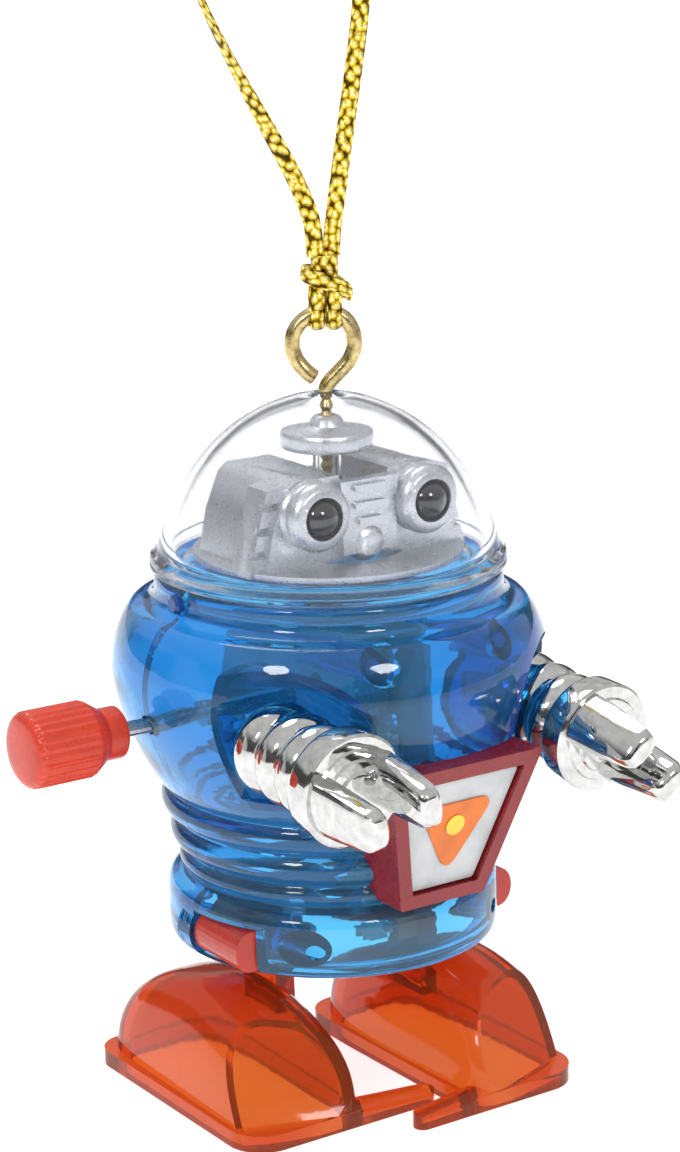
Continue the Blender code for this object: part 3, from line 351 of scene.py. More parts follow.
def make_materials():
    made = {}
    blue = Shader("blue_clear", Base_Color=(0.14, 0.57, 0.87), Transmission_Weight=0.93, IOR=1.46,
                  Roughness=0.04)
    blue.bump(blue.noise(0.45, 2.0), "Fac", 0.03)
    blue.clear((0.80, 0.93, 1.0), (0.05, 0.58, 0.82), 360.0)
    made["blue"] = blue.material
    dome = Shader("dome_clear", Base_Color=(0.95, 0.95, 0.975), Transmission_Weight=0.98, IOR=1.12,
                  Roughness=0.1)
    dome.bump(dome.noise(0.3, 2.0), "Fac", 0.02)
    dome.clear((0.96, 0.97, 0.98), (0.80, 0.82, 0.9), 30.0)
    made["dome"] = dome.material
    orange = Shader("orange_clear", Base_Color=(0.71, 0.235, 0.055), Transmission_Weight=0.88, IOR=1.34,
                    Roughness=0.08)
    orange.bump(orange.noise(0.4, 2.0), "Fac", 0.04)
    orange.clear((1.0, 0.86, 0.6), (0.93, 0.42, 0.07), 620.0)
    made["orange"] = orange.material
    tube = Shader("tube_clear", Base_Color=(0.95, 0.95, 0.92), Transmission_Weight=1.0, IOR=1.45,
                  Roughness=0.12)
    tube.clear((0.95, 0.95, 0.92))
    made["tube"] = tube.material
    silver = Shader("silver_paint", Metallic=0.85)
    silver.tone([(0.35, (0.50, 0.52, 0.54)), (0.65, (0.68, 0.70, 0.72))], 6.0)
    silver.rough(0.24, 0.38, 2.0)
    silver.bump(silver.noise(18.0, 2.0), "Fac", 0.01)
    made["silver"] = silver.material
    black = Shader("eye_gloss", Base_Color=(0.006, 0.006, 0.008), IOR=1.52, Coat_Weight=1.0,
                   Coat_Roughness=0.02)
    black.rough(0.03, 0.09, 1.2)
    made["black"] = black.material
    brass = Shader("brass_wire", Metallic=1.0)
    brass.tone([(0.3, (0.34, 0.25, 0.10)), (0.5, (0.56, 0.44, 0.20)), (0.75, (0.70, 0.58, 0.32))], 1.4)
    brass.rough(0.16, 0.32, 2.5)
    brass.bump(brass.noise(9.0, 3.0, 0.5), "Fac", 0.008)
    made["brass"] = brass.material
    chrome = Shader("chrome_coat", Metallic=1.0)
    chrome.tone([(0.3, (0.50, 0.50, 0.49)), (0.7, (0.68, 0.68, 0.67))], 0.8)
    chrome.rough(0.03, 0.08, 1.5)
    chrome.bump(chrome.noise(0.5, 0.0), "Fac", 0.05)
    made["chrome"] = chrome.material
    steel = Shader("shaft_steel", Metallic=1.0)
    steel.tone([(0.3, (0.36, 0.37, 0.38)), (0.7, (0.60, 0.61, 0.62))], 3.0, stretch=(0.15, 1, 1))
    steel.rough(0.18, 0.3, 3.0)
    steel.bump(steel.noise(10.0, 3.0, 0.5, (0.05, 1, 1)), "Fac", 0.006)
    made["steel"] = steel.material
    made["box"] = plastic("box_red", (0.24, 0.010, 0.012))
    made["frame"] = plastic("frame_red", (0.50, 0.035, 0.02), 0.18, 0.28)
    made["knob"] = plastic("knob_red", (0.62, 0.042, 0.016), 0.24, 0.36)
    made["label"] = plastic("label_white", (0.54, 0.56, 0.57), 0.3, 0.45, 0.004)
    made["badge"] = plastic("badge_orange", (0.74, 0.17, 0.015), 0.3, 0.42, 0.003)
    made["dot"] = plastic("badge_yellow", (0.90, 0.62, 0.05), 0.3, 0.42, 0.003)
    made["gear"] = plastic("gear_white", (0.62, 0.63, 0.60), 0.35, 0.5)
    made["crank"] = plastic("crank_red", (0.25, 0.02, 0.02), 0.3, 0.45)
    made["plate"] = plastic("plate_grey", (0.30, 0.34, 0.42), 0.25, 0.4)
    made["pin"] = plastic("pin_blue", (0.012, 0.06, 0.26), 0.12, 0.22)
    made["gold"] = braid()
    return made


MAT = make_materials()
BY_SLOT = {"blue_shell": "blue", "clear_dome": "dome", "silver_paint": "silver", "black_eye": "black",
           "clear_tube": "tube", "brass_wire": "brass", "gold_cord": "gold", "red_box": "box",
           "label_white": "label", "badge_orange": "badge", "badge_yellow": "dot", "red_frame": "frame",
           "clear_plate": "plate", "gear_plastic": "gear", "steel": "steel", "crank_plastic": "crank",
           "red_knob": "knob", "chromed_plastic": "chrome", "blue_pin": "pin", "orange_foot": "orange"}
SLOT_OF = {entry["node"]: entry["material_slot"] for entry in frame["record"]["subparts"]}


def dress_cad():
    """Procedural materials for the CAD nodes that stay in sight."""
    for name, item in NODES.items():
        item.data.materials.clear()
        item.data.materials.append(MAT[BY_SLOT[SLOT_OF[name]]])
        smooth(item)


# ---- shared shapes ---------------------------------------------------------------------------
GAP = 0.03                       # half of the clearance between the front and rear halves
WIND = (0.0, 48.2)               # (y, z) of the winding shaft
CRANK = (-1.5, 21.8)             # (y, z) of the crank axle
THROW = 2.67                     # from the crank axle to a foot's pin
ARM_X, ARM_Y, ARM_Z = 17.1, -8.5, 48.2        # shoulder pin
BODY_LOW, BODY_HIGH = 19.25, 63.0             # lower rim and collar top
SCREWS = ((12.6, 22.7, 2.2), (8.2, 56.6, 1.6))   # x, z and boss radius of each pair of shell screws
DOME_PIN_Z = 61.6
PEG_HEIGHTS = (35.9, 43.5)       # the chest box's pegs, in the front shell


def loft(name, sections):
    """Solid through closed sections that have equal point counts."""
    n = len(sections[0])
    verts = [v for section in sections for v in section]
    faces = [tuple(range(n)), tuple(range(len(verts) - 1, len(verts) - n - 1, -1))]
    for level in range(len(sections) - 1):
        a, b = level * n, (level + 1) * n
        faces += [(a + k, b + k, b + (k + 1) % n, a + (k + 1) % n) for k in range(n)]
    return outward(obj_from(name, verts, faces))


def half_turned(name, outline, side, segments=72):
    """Half of a turned ring on one side of the seam plane."""
    sections = []
    for k in range(segments + 1):
        a = math.pi * k / segments
        sections.append([(r * math.cos(a), side * (r * math.sin(a) + GAP), z) for r, z in outline])
    return loft(name, sections)


def bevelled(item, width, segments=2, angle=35.0):
    """Round the sharp edges by a real bevel."""
    step = item.modifiers.new("edge", "BEVEL")
    step.width = width * MM
    step.segments = segments
    step.limit_method = "ANGLE"
    step.angle_limit = math.radians(angle)
    return item


def moved(item, matrix):
    """Turn a finished mesh by a matrix in the robot's own millimetres."""
    there = Matrix.Translation(AXIS) @ Matrix.Scale(MM, 4)
    item.data.transform(there @ matrix @ there.inverted())
    return item


def about(axis, point, degrees):
    pivot = Vector(point)
    turn = Matrix.Rotation(math.radians(degrees), 4, axis)
    return Matrix.Translation(pivot) @ turn @ Matrix.Translation(-pivot)


def mirrored(item):
    moved(item, Matrix.Diagonal((-1, 1, 1, 1)))
    item.data.flip_normals()
    return item


# ---- round body and dome ---------------------------------------------------------------------
TAB = (19.65, 24.5, 19.7, -9.2)      # |x| reach, top z, bottom z, front y of the frame's side tabs


def body_outline():
    """Outer (radius, z) outline from the lower rim up to the collar's top."""
    base = [(19.1, BODY_LOW), (19.4, 20.3), (19.5, 21.6), (19.5, 25.4), (19.0, 26.5), (18.0, 27.1)]
    waist = [(17.4, 27.4), (18.1, 28.2), (18.1, 29.2), (17.3, 29.9),
             (18.7, 30.7), (19.2, 32.0), (18.8, 33.1), (18.1, 33.8),
             (19.7, 34.6), (20.2, 35.9), (19.9, 37.0), (19.3, 37.6)]
    chest = [(20.4, 38.4), (22.0, 41.0), (23.8, 44.8), (25.0, 48.4), (25.5, 51.6),
             (25.2, 54.6), (24.3, 57.2), (23.3, 58.8), (22.6, 59.3)]
    collar = [(21.4, 59.5), (20.6, 60.1), (20.2, 61.0), (20.2, BODY_HIGH)]
    return base + waist + chest + collar


def inner_outline():
    return [(18.85, BODY_HIGH), (18.85, 60.2), (22.6, 56.9), (24.0, 53.6), (24.1, 50.8), (22.4, 44.6),
            (18.3, 38.0), (16.7, 34.2), (15.95, 30.2), (15.95, 28.0), (18.2, 24.9), (18.2, 20.5),
            (16.4, 20.4), (16.4, BODY_LOW)]


def body_solid(swell):
    outline = [(r + swell, z) for r, z in body_outline()]
    return turned("inside", [(0, BODY_LOW)] + outline + [(0, BODY_HIGH)])


def half_shell(name, side):
    outline = softened(body_outline() + inner_outline(), 2, closed=True)
    half = half_turned(name, outline, side)
    for x, z, radius in SCREWS:
        for sign in (-1, 1):
            lo, hi = sorted((GAP * side, 30 * side))
            add(half, keep(rod("boss", radius, lo, hi, "Y", (sign * x, z)), body_solid(-0.45)))
            deep = (15.6 if z < 40 else 20.0) * side
            cut(half, rod("hole", 0.87, min(deep, -side), max(deep, -side), "Y", (sign * x, z), 24))
            if side > 0:
                cut(half, rod("sink", 1.55, 9.0 if z < 40 else 15.0, 40, "Y", (sign * x, z)))
    cut(half, rod("shaft_way", 1.15, -30, 0, "X", WIND))
    for sign in (-1, 1):
        lo, hi = sorted((16 * sign, 30 * sign))
        cut(half, rod("pin_way", 0.68, lo, hi, "X", (0, DOME_PIN_Z), 20))
    return half


def front_shell():
    shell = half_shell("front_half", -1)
    for sign in (-1, 1):
        cx = sign * ARM_X
        add(shell, keep(rod("cup", 8.3, -30, -9.6, "Y", (cx, ARM_Z), 72), body_solid(-0.12)))
        cut(shell, rod("socket", 7.3, -40, -10.6, "Y", (cx, ARM_Z), 72))
        for cheek in (-1, 1):
            x0, x1 = sorted((cx + cheek * 1.55, cx + cheek * 3.0))
            add(shell, block("cheek", (x0, -10.2, 46.3), (x1, -6.8, 50.1)))
        cut(shell, block("slot", (cx - 1.5, -11.1, 45.5), (cx + 1.5, -9.2, 50.9)),
            rod("pin_way", 0.8, cx - 3.2, cx + 3.2, "X", (ARM_Y, ARM_Z), 20))
        x0, x1 = sorted((sign * 13.4, sign * 24))
        cut(shell, block("window", (x0, TAB[3] - 0.25, TAB[2] - 0.25), (x1, 1.0, TAB[1] + 0.25)))
    for z in PEG_HEIGHTS:
        cut(shell, rod("peg_way", 1.02, -30, -10, "Y", (0, z), 20))
    return piece(shell, MAT["blue"], "root", "blue_shell", "front_shell")


def tab_section(sign, inner, reach, low, high):
    """D-shaped section in (x, z): flat inside, round outside."""
    mid, tall = (high + low) / 2, (high - low) / 2
    curve = [(reach - 1.9 + 1.9 * math.cos(math.radians(a)), mid + tall * math.sin(math.radians(a)))
             for a in range(-90, 91, 6)]
    return [(sign * x, z) for x, z in [(inner, low)] + curve + [(inner, high)]]


def rear_shell():
    shell = half_shell("rear_half", 1)
    for sign in (-1, 1):
        section = tab_section(sign, 17.0, TAB[0] + 0.5, TAB[2] - 0.2, TAB[1] + 0.2)
        fairing = prism("fairing", section, GAP, 2.6, "Y")
        cut(fairing, turned("under", [(0, 10), (18.2, 10), (18.2, 30), (0, 30)]))
        add(shell, fairing)
    return piece(shell, MAT["blue"], "root", "blue_shell", "rear_shell")


def dome():
    outer = [(20.65, 63.3), (20.65, 63.9), (20.5, 64.0), (20.5, 64.25), (20.65, 64.35), (20.6, 64.95),
             (20.2, 65.3), (19.75, 65.5), (19.5, 66.9), (18.6, 69.4), (17.1, 72.5), (15.2, 75.3),
             (12.7, 78.1), (9.4, 80.6), (5.4, 82.45), (1.7, 83.3)]
    inner = [(1.05, 83.3), (1.05, 82.1), (4.5, 81.45), (8.8, 79.6), (12.3, 76.7), (15.1, 73.2), (17.3, 69.0),
             (18.3, 66.0), (17.6, 64.4), (14.4, 64.4), (14.4, 63.7), (17.6, 63.2), (17.6, 60.8), (18.7, 60.8),
             (18.7, 63.3)]
    shell = turned("clear_dome", softened(outer + inner, 2, closed=True), segments=128)
    for sign in (-1, 1):
        lo, hi = sorted((16 * sign, 19.2 * sign))
        cut(shell, rod("pin_way", 0.68, lo, hi, "X", (0, DOME_PIN_Z), 20))
    return piece(shell, MAT["dome"], "root", "clear_dome", "dome")


# ---- head and antenna ------------------------------------------------------------------------
EYE_X, EYE_Z, EYE_FRONT, EYE_R = 7.4, 71.3, -10.3, 2.35


def head():
    """Tapered block with two ribbed eye tubes, notched columns and a face plate with three bars."""
    outline = [(-13.2, 64.8), (13.2, 64.8), (12.2, 70.0), (10.4, 74.2), (9.2, 75.2), (3.4, 75.2), (2.6, 73.1),
               (-2.6, 73.1), (-3.4, 75.2), (-9.2, 75.2), (-10.4, 74.2), (-12.2, 70.0)]
    body = prism("head_block", outline, -7.2, 7.0, "Y")
    tube = softened([(0, EYE_FRONT), (3.1, EYE_FRONT), (3.5, EYE_FRONT + 0.25), (3.95, EYE_FRONT + 0.9),
                     (3.95, -8.6), (3.55, -8.3), (3.55, -7.6), (3.95, -7.3), (3.95, -6.4), (3.55, -6.1),
                     (3.55, -5.4), (3.95, -5.1), (3.95, -4.0), (3.4, -3.6), (0, -3.6)], 1)
    for sign in (-1, 1):
        add(body, turned("tube", tube, "Y", (sign * EYE_X, EYE_Z), 64))
        column = prism("column", [(sign * 10.8, 64.65), (sign * 15.0, 64.65), (sign * 12.4, 74.4),
                                  (sign * 10.1, 74.9)], -6.4, -2.6, "Y")
        for z in (67.3, 69.9, 72.5):
            x0, x1 = sorted((sign * 10.0, sign * 17.0))
            cut(column, block("groove", (x0, -7.5, z - 0.45), (x1, -5.6, z + 0.45)))
        add(body, column)
    add(body, prism("face", [(-3.6, 66.2), (3.6, 66.2), (3.9, 74.6), (-3.9, 74.6)], -8.4, -6.9, "Y"))
    for z, half in ((73.7, 1.9), (71.7, 1.9), (69.9, 1.3)):
        bar = arc((half, z), 0.42, -90, 90, 10) + arc((-half, z), 0.42, 90, 270, 10)
        add(body, prism("bar", bar, -8.95, -8.2, "Y"))
    add(body, turned("chin", softened([(0, -9.0), (1.3, -8.9), (2.3, -8.0), (2.4, -6.7), (0, -6.7)], 2),
                     "Y", (0, 67.3), 48))
    for sign in (-1, 1):
        cut(body, rod("eye_way", EYE_R + 0.12, EYE_FRONT - 2, EYE_FRONT + 1.87, "Y",
                      (sign * EYE_X, EYE_Z), 64))
    cut(body, rod("tube_way", 1.75, 72.2, 76, "Z", (0, 0)), rod("hollow", 0.95, 60, 73, "Z", (0, 0)))
    add(body, turned("foot", [(9.0, 64.45), (15.6, 64.45), (15.6, 65.3), (9.0, 65.3)]))
    bevelled(body, 0.14, 2, 40.0)
    return piece(body, MAT["silver"], "root", "silver_paint", "head", angle=40.0)


def eyes():
    for side, sign in (("right", -1), ("left", 1)):
        ball = [(0, EYE_FRONT - 0.95)]
        ball += [(EYE_R * math.sin(math.radians(a)), EYE_FRONT + 1.4 - EYE_R * math.cos(math.radians(a)))
                 for a in range(6, 91, 6)]
        ball += [(EYE_R, EYE_FRONT + 1.8), (0, EYE_FRONT + 1.8)]
        item = turned("eyeball_" + side, ball, "Y", (sign * EYE_X, EYE_Z), 64)
        piece(item, MAT["black"], "root", "black_eye", "eye_" + side)


def antenna():
    profile = [(0.95, 76.8), (5.1, 76.8), (5.35, 77.1), (5.35, 78.6), (5.1, 78.95), (2.2, 79.1), (1.7, 80.3),
               (0.95, 80.6)]
    disc = turned("antenna_top", softened(profile, 1, closed=True))
    piece(disc, MAT["silver"], "root", "silver_paint", "antenna_disc")
    tube = turned("antenna_stem", [(0.95, 72.3), (1.65, 72.3), (1.65, 76.7), (0.95, 76.7)], segments=64)
    piece(tube, MAT["tube"], "root", "clear_tube", "antenna_tube")


# ---- screw eye, knot and cord ----------------------------------------------------------------
ACROSS = Vector((math.cos(math.radians(-30)), math.sin(math.radians(-30)), 0))   # along the ring's plane
FRONT = Vector((ACROSS.y, -ACROSS.x, 0))
CORD_WIDTH, CORD_THICK = 2.0, 0.8
EYE_WIRE, EYE_WIDER = 1.82, 1.07     # the screw eye's wire, and how much wider than its points the ring is
RING_TOP = 92.35


def in_ring(u, v, z):
    """Robot point from a place across the ring's plane, in front of it and up."""
    spot = ACROSS * u + FRONT * v
    return (spot.x, spot.y, z)


def smooth_line(points, per=6):
    """Catmull-Rom points through the given ones."""
    out = []
    ends = [points[0]] + list(points) + [points[-1]]
    for a, b, c, d in zip(ends, ends[1:], ends[2:], ends[3:]):
        a, b, c, d = Vector(a), Vector(b), Vector(c), Vector(d)
        for k in range(per):
            t = k / per
            out.append(0.5 * (2 * b + (c - a) * t + (2 * a - 5 * b + 4 * c - d) * t ** 2
                              + (3 * b - a - 3 * c + d) * t ** 3))
    return out + [Vector(points[-1])]


def tube_along(name, path, width, thick, facing=None, steps=16, round_ends=False):
    """Oval tube along points; facing(k / n) is its wide side's direction. UVs count millimetres."""
    count = len(path)
    sections, lengths = [], [0.0]
    for k in range(1, count):
        lengths.append(lengths[-1] + (path[k] - path[k - 1]).length)
    wide = None
    for k, at in enumerate(path):
        ahead = (path[min(k + 1, count - 1)] - path[max(k - 1, 0)]).normalized()
        want = facing(k / (count - 1)) if facing else (wide or ahead.orthogonal())
        wide = (want - ahead * want.dot(ahead)).normalized()
        deep = ahead.cross(wide)
        swell = 0.6 if round_ends and k in (0, count - 1) else 1.0
        sections.append([tuple(at + swell * (wide * (width / 2 * math.cos(TAU * j / steps))
                                             + deep * (thick / 2 * math.sin(TAU * j / steps))))
                         for j in range(steps)])
    item = loft(name, sections)
    layer = item.data.uv_layers.new(name="UVMap")
    around = math.pi * (width + thick) / 2
    for face in item.data.polygons:
        places = [v % steps for v in face.vertices]
        seam = max(places) == steps - 1 and min(places) == 0
        for corner, v, j in zip(face.loop_indices, face.vertices, places):
            if seam and j == 0:
                j = steps
            layer.data[corner].uv = (around * j / steps, lengths[v // steps])
    return item


def screw_eye():
    """Threaded shank whose wire turns up into an open, slightly pointed ring."""
    turn = [(0, 0, 82.6), (0, 0, 83.6), (0.45, 0, 84.5), (1.45, 0.05, 85.6), (2.5, 0.1, 86.9),
            (3.05, 0.1, 88.5), (2.9, 0.05, 90.2), (2.1, 0, 91.6), (0.8, 0, RING_TOP), (-0.9, 0, RING_TOP),
            (-2.4, 0, 91.5), (-3.35, 0, 90.1), (-3.5, 0.05, 88.4), (-3.0, 0.15, 86.9), (-2.1, 0.4, 85.75),
            (-1.15, 0.75, 85.0)]
    path = smooth_line([in_ring(u * EYE_WIDER, v, z) for u, v, z in turn], 7)
    item = tube_along("brass_eye", path, EYE_WIRE, EYE_WIRE, steps=28, round_ends=True)
    thread = [(0, 73.7), (0.45, 73.7)]
    z = 74.3
    while z < 82.0:
        thread += [(0.52, z), (0.78, z + 0.45)]
        z += 0.95
    thread += [(0.6, 82.3), (0.75, 82.6), (0.75, 83.2), (0, 83.2)]
    add(item, turned("thread", thread, "Z", (0, 0), 36))
    return piece(item, MAT["brass"], "root", "brass_wire", "screw_eye")


def knot():
    """Lark's head: two bights over the ring's top, pulled through a band that goes round them."""
    made = None
    for side in (-1, 1):
        u = side * 0.95
        bend = [(u, 1.55 * math.cos(math.radians(a)), RING_TOP - 0.05 - 1.5 * math.sin(math.radians(a)))
                for a in range(-30, 211, 20)]
        run = [(u * 0.9, 0.95, 96.2), (u, 1.45, 94.6)] + bend + [(u, -1.2, 94.8), (u * 0.9, -0.7, 96.4)]
        loop = tube_along("loop", smooth_line([in_ring(*p) for p in run], 4), 1.75, 0.85,
                          lambda t: ACROSS, 14)
        made = loop if made is None else add(made, loop)
    band = [(-2.35, 0.1, 96.9), (-1.7, 1.15, 96.6), (-0.3, 1.55, 96.2), (1.1, 1.45, 95.7),
            (2.3, 0.8, 95.0), (2.75, -0.1, 94.6), (2.0, -1.0, 95.2), (0.4, -1.45, 96.1),
            (-1.3, -1.2, 96.8), (-2.35, -0.3, 97.0)]
    add(made, tube_along("band", smooth_line([in_ring(*p) for p in band], 5), 1.9, 0.95,
                         lambda t: Vector((0, 0, 1)), 14))
    spine = smooth_line([in_ring(0, 0, z) for z in (94.2, 95.4, 96.8, 98.95)], 4)
    add(made, tube_along("heart", spine, 3.1, 1.9, lambda t: ACROSS, 18))
    return piece(made, MAT["gold"], "root", "gold_cord", "cord_knot", angle=60.0)


def cord_route():
    left = [(-1.1, 0.2, 98.8), (-1.5, 0.3, 103.0), (-3.6, 0.5, 108.0), (-6.6, 0.5, 113.0), (-9.7, 0.4, 118.0),
            (-12.7, 0.3, 123.0), (-15.4, 0.2, 128.0), (-17.3, 0.1, 133.0), (-18.0, 0.0, 138.0)]
    over = [(-17.4, 0.0, 143.0), (-15.2, 0.0, 147.4), (-11.6, 0.0, 150.6), (-7.0, 0.0, 152.0),
            (-2.4, 0.0, 151.2), (1.4, 0.0, 148.6), (4.0, 0.0, 144.8)]
    right = [(5.5, 0.0, 140.0), (6.0, 0.0, 135.0), (5.7, 0.0, 130.0), (5.2, 0.0, 125.0),
             (4.4, 0.0, 120.0), (3.5, 0.0, 115.0), (2.6, 0.0, 110.0), (1.8, 0.1, 105.0), (1.3, 0.2, 101.5),
             (1.1, 0.2, 98.8)]
    return left + over + right


def cord(tied):
    """Flat metallic braid: its left strand turns edge-on as it rises, its right one stays face-on."""
    path = smooth_line(cord_route(), 8)

    def facing(t):
        edge = max(0.0, 1.0 - abs(t - 0.27) / 0.22)
        turn = math.radians(85) * (3 * edge ** 2 - 2 * edge ** 3)
        return ACROSS * math.cos(turn) + FRONT * math.sin(turn)

    item = tube_along("cord", path, CORD_WIDTH, CORD_THICK, facing, 20)
    piece(item, MAT["gold"], "root", "gold_cord", "hanging_cord", angle=60.0)


# ---- chest box -------------------------------------------------------------------------------
BOX_LOW, BOX_HIGH = (-22.0, 28.2, 5.8), (-27.0, 45.8, 10.4)   # front face: y, z, half width


def box_face(z):
    """y and half width of the box's front face at a height."""
    t = (z - BOX_LOW[1]) / (BOX_HIGH[1] - BOX_LOW[1])
    return (BOX_LOW[0] + t * (BOX_HIGH[0] - BOX_LOW[0]), BOX_LOW[2] + t * (BOX_HIGH[2] - BOX_LOW[2]))


def tilted_panel(name, corners, depth_front, depth_back):
    """A panel parallel to the box's sloping face; depths count inwards."""
    return loft(name, [[(x, box_face(z)[0] + depth, z) for x, z in corners]
                       for depth in (depth_front, depth_back)])


def rounded(corners, radius, steps=6):
    out = []
    for i, here in enumerate(corners):
        p = Vector(here)
        before = (Vector(corners[i - 1]) - p).normalized()
        after = (Vector(corners[(i + 1) % len(corners)]) - p).normalized()
        reach = radius / math.tan(before.angle(after) / 2)
        a, b = p + before * reach, p + after * reach
        for k in range(steps + 1):
            t = k / steps
            out.append(tuple((1 - t) ** 2 * a + 2 * t * (1 - t) * p + t ** 2 * b))
    return out


def box_corners(margin):
    low, high = BOX_LOW[1] + margin, BOX_HIGH[1] - margin
    w0, w1 = box_face(low)[1] - margin, box_face(high)[1] - margin
    return [(-w0, low), (w0, low), (w1, high), (-w1, high)]


def chest():
    box = tilted_panel("chest_case", rounded(box_corners(0), 0.45), 0, 12)
    cut(box, body_solid(0.08), tilted_panel("recess", rounded(box_corners(1.75), 0.35), -1, 1.3))
    for z in PEG_HEIGHTS:
        root = box_face(z)[0] + 2.3
        add(box, rod("peg", 0.92, root, root + 5.5, "Y", (0, z)))
    bevelled(box, 0.22, 3)
    piece(box, MAT["box"], "root", "red_box", "chest_box", angle=35.0)
    label = tilted_panel("label", rounded(box_corners(2.0), 0.5), 0.75, 1.27)
    piece(bevelled(label, 0.05, 2), MAT["label"], "root", "label_white", "chest_label")
    badge = tilted_panel("badge", rounded([(-5.3, 40.9), (0.0, 31.6), (5.3, 40.9)], 1.5, 10), 0.5, 0.74)
    piece(bevelled(badge, 0.05, 2), MAT["badge"], "root", "badge_orange", "chest_badge")
    dot = tilted_panel("dot", arc((0, 38.0), 1.25, 0, 360, 48)[:-1], 0.35, 0.49)
    piece(bevelled(dot, 0.03, 2), MAT["dot"], "root", "badge_yellow", "badge_dot")


# ---- knob ------------------------------------------------------------------------------------
KNOB_RIDGES = 28


def knob():
    """Winding knob: short neck, a coned shoulder, a grip with fine ridges and a rounded end."""
    n = KNOB_RIDGES * 8
    sections = []
    for x, base, depth in ((-28.8, 2.75, 0), (-28.95, 2.95, 0), (-29.2, 3.0, 0), (-31.25, 3.0, 0),
                           (-31.35, 3.15, 0), (-32.9, 4.2, 0.04), (-33.2, 4.37, 0.14), (-33.5, 4.4, 0.2),
                           (-39.9, 4.4, 0.2), (-40.3, 4.33, 0.14), (-40.6, 4.1, 0.04), (-40.85, 3.75, 0),
                           (-41.0, 3.2, 0), (-41.1, 2.2, 0), (-41.15, 1.0, 0)):
        ring = []
        for k in range(n):
            a = TAU * k / n
            r = base - depth * (0.5 - 0.5 * math.cos(KNOB_RIDGES * a)) ** 0.7
            ring.append((x, WIND[0] + r * math.cos(a), WIND[1] + r * math.sin(a)))
        sections.append(ring)
    item = loft("winding_knob", sections)
    cut(item, rod("bore", 0.92, -39.2, -20, "X", WIND))
    return piece(item, MAT["knob"], "winder", "red_knob", "knob", angle=50.0)


# ---- arms ------------------------------------------------------------------------------------
ARM_R, WRIST_R, WRIST_FRONT = 5.4, 6.45, 21.0


def jaw(side):
    """Half-barrel finger: flat inside, round outside, narrowing to a blunt rounded end."""
    sections = []
    for t, inner, radius, half in ((WRIST_FRONT - 0.4, 2.1, 5.9, 3.1), (24.0, 2.1, 5.65, 2.95),
                                   (27.5, 2.0, 5.3, 2.6), (29.5, 1.95, 5.0, 2.35), (30.25, 2.1, 4.75, 2.0),
                                   (30.6, 2.5, 4.2, 1.4)):
        spread = math.degrees(math.asin(half / radius))
        outline = [(inner, -half)] + arc((0, 0), radius, -spread, spread, 20) + [(inner, half)]
        outline = softened(outline, 2, closed=True)
        sections.append([(ARM_X + side * a, ARM_Y - t, ARM_Z + b) for a, b in outline])
    return loft("jaw", sections)


def arm(name, roll, droop, mirror):
    """One moulding: lug, three ribs, wrist disc and two jaws; angles in degrees."""
    outline = [(0, 3.9), (3.6, 3.9), (ARM_R - 0.9, 4.1)]
    for start, end in ((4.2, 8.7), (8.7, 12.5), (12.5, 16.3)):
        outline += [(ARM_R - 1.15 + 1.15 * math.sin(math.pi * j / 16) ** 0.6, start + (end - start) * j / 16)
                    for j in range(1, 16)]
    outline += [(ARM_R - 1.0, 16.7), (5.6, 17.2), (WRIST_R - 0.15, 17.6), (WRIST_R, 18.1),
                (WRIST_R, WRIST_FRONT - 0.3), (WRIST_R - 0.3, WRIST_FRONT), (4.9, WRIST_FRONT), (4.7, 21.3),
                (3.8, 21.35), (3.6, 21.7), (2.6, 21.75), (2.3, 22.1), (1.0, 22.3), (0, 22.3)]
    item = turned(name, [(r, ARM_Y - t) for r, t in outline], "Y", (ARM_X, ARM_Z), 80)
    for side in (-1, 1):
        add(item, moved(jaw(side), about("Y", (ARM_X, 0, ARM_Z), -roll)))
    lug = arc((ARM_Y, ARM_Z), 1.45, -90, 90, 16) + [(ARM_Y - 4.2, ARM_Z + 1.7), (ARM_Y - 4.2, ARM_Z - 1.7)]
    add(item, prism("lug", lug, ARM_X - 1.2, ARM_X + 1.2, "X"))
    cut(item, rod("pin_way", 0.78, ARM_X - 2, ARM_X + 2, "X", (ARM_Y, ARM_Z), 24))
    if mirror:
        mirrored(item)
    moved(item, about("X", (0, ARM_Y, ARM_Z), droop))
    return bevelled(item, 0.32, 3, 40.0)


def arms():
    left = arm("claw_arm_left", roll=-45.0, droop=5.8, mirror=False)
    piece(left, MAT["chrome"], "arm_left", "chromed_plastic", "arm_left", angle=50.0)
    right = arm("claw_arm_right", roll=-10.0, droop=4.0, mirror=True)
    piece(right, MAT["chrome"], "arm_right", "chromed_plastic", "arm_right", angle=50.0)


# ---- feet ------------------------------------------------------------------------------------
FOOT_OUT, SOLE_T, TOE_FRONT, HEEL = 22.0, 2.0, -15.2, 20.0
BOOT = [  # y, inner x, outer x, height: from the heel to the toe
    (18.9, 9.8, 18.4, 4.8), (18.0, 7.9, 20.0, 7.7), (15.8, 6.4, 20.8, 10.5), (12.0, 5.8, 21.0, 12.9),
    (6.5, 5.6, 21.1, 14.2), (0.0, 5.7, 21.2, 14.7), (-5.0, 5.9, 21.3, 13.9), (-9.5, 6.0, 21.3, 12.4),
    (-12.4, 6.1, 21.2, 10.4), (-14.2, 6.7, 20.9, 8.2), (-15.0, 7.8, 20.2, 6.0)]


def boot_loft(name, inset, floor):
    """Rounded upper through smoothed stations; the inset makes its hollow."""
    around = 56
    sections = []
    for y, inner, outer, height in softened(BOOT, 2):
        cx, half = (inner + outer) / 2, (outer - inner) / 2
        section = []
        for k in range(around + 1):
            a = math.pi * k / around
            c, s = math.cos(a), math.sin(a)
            section.append((cx + (half - inset) * math.copysign(abs(c) ** 0.62, c), y - inset * y / 17,
                            floor + (height - inset - floor) * abs(s) ** 0.62))
        sections.append(section)
    return loft(name, sections)


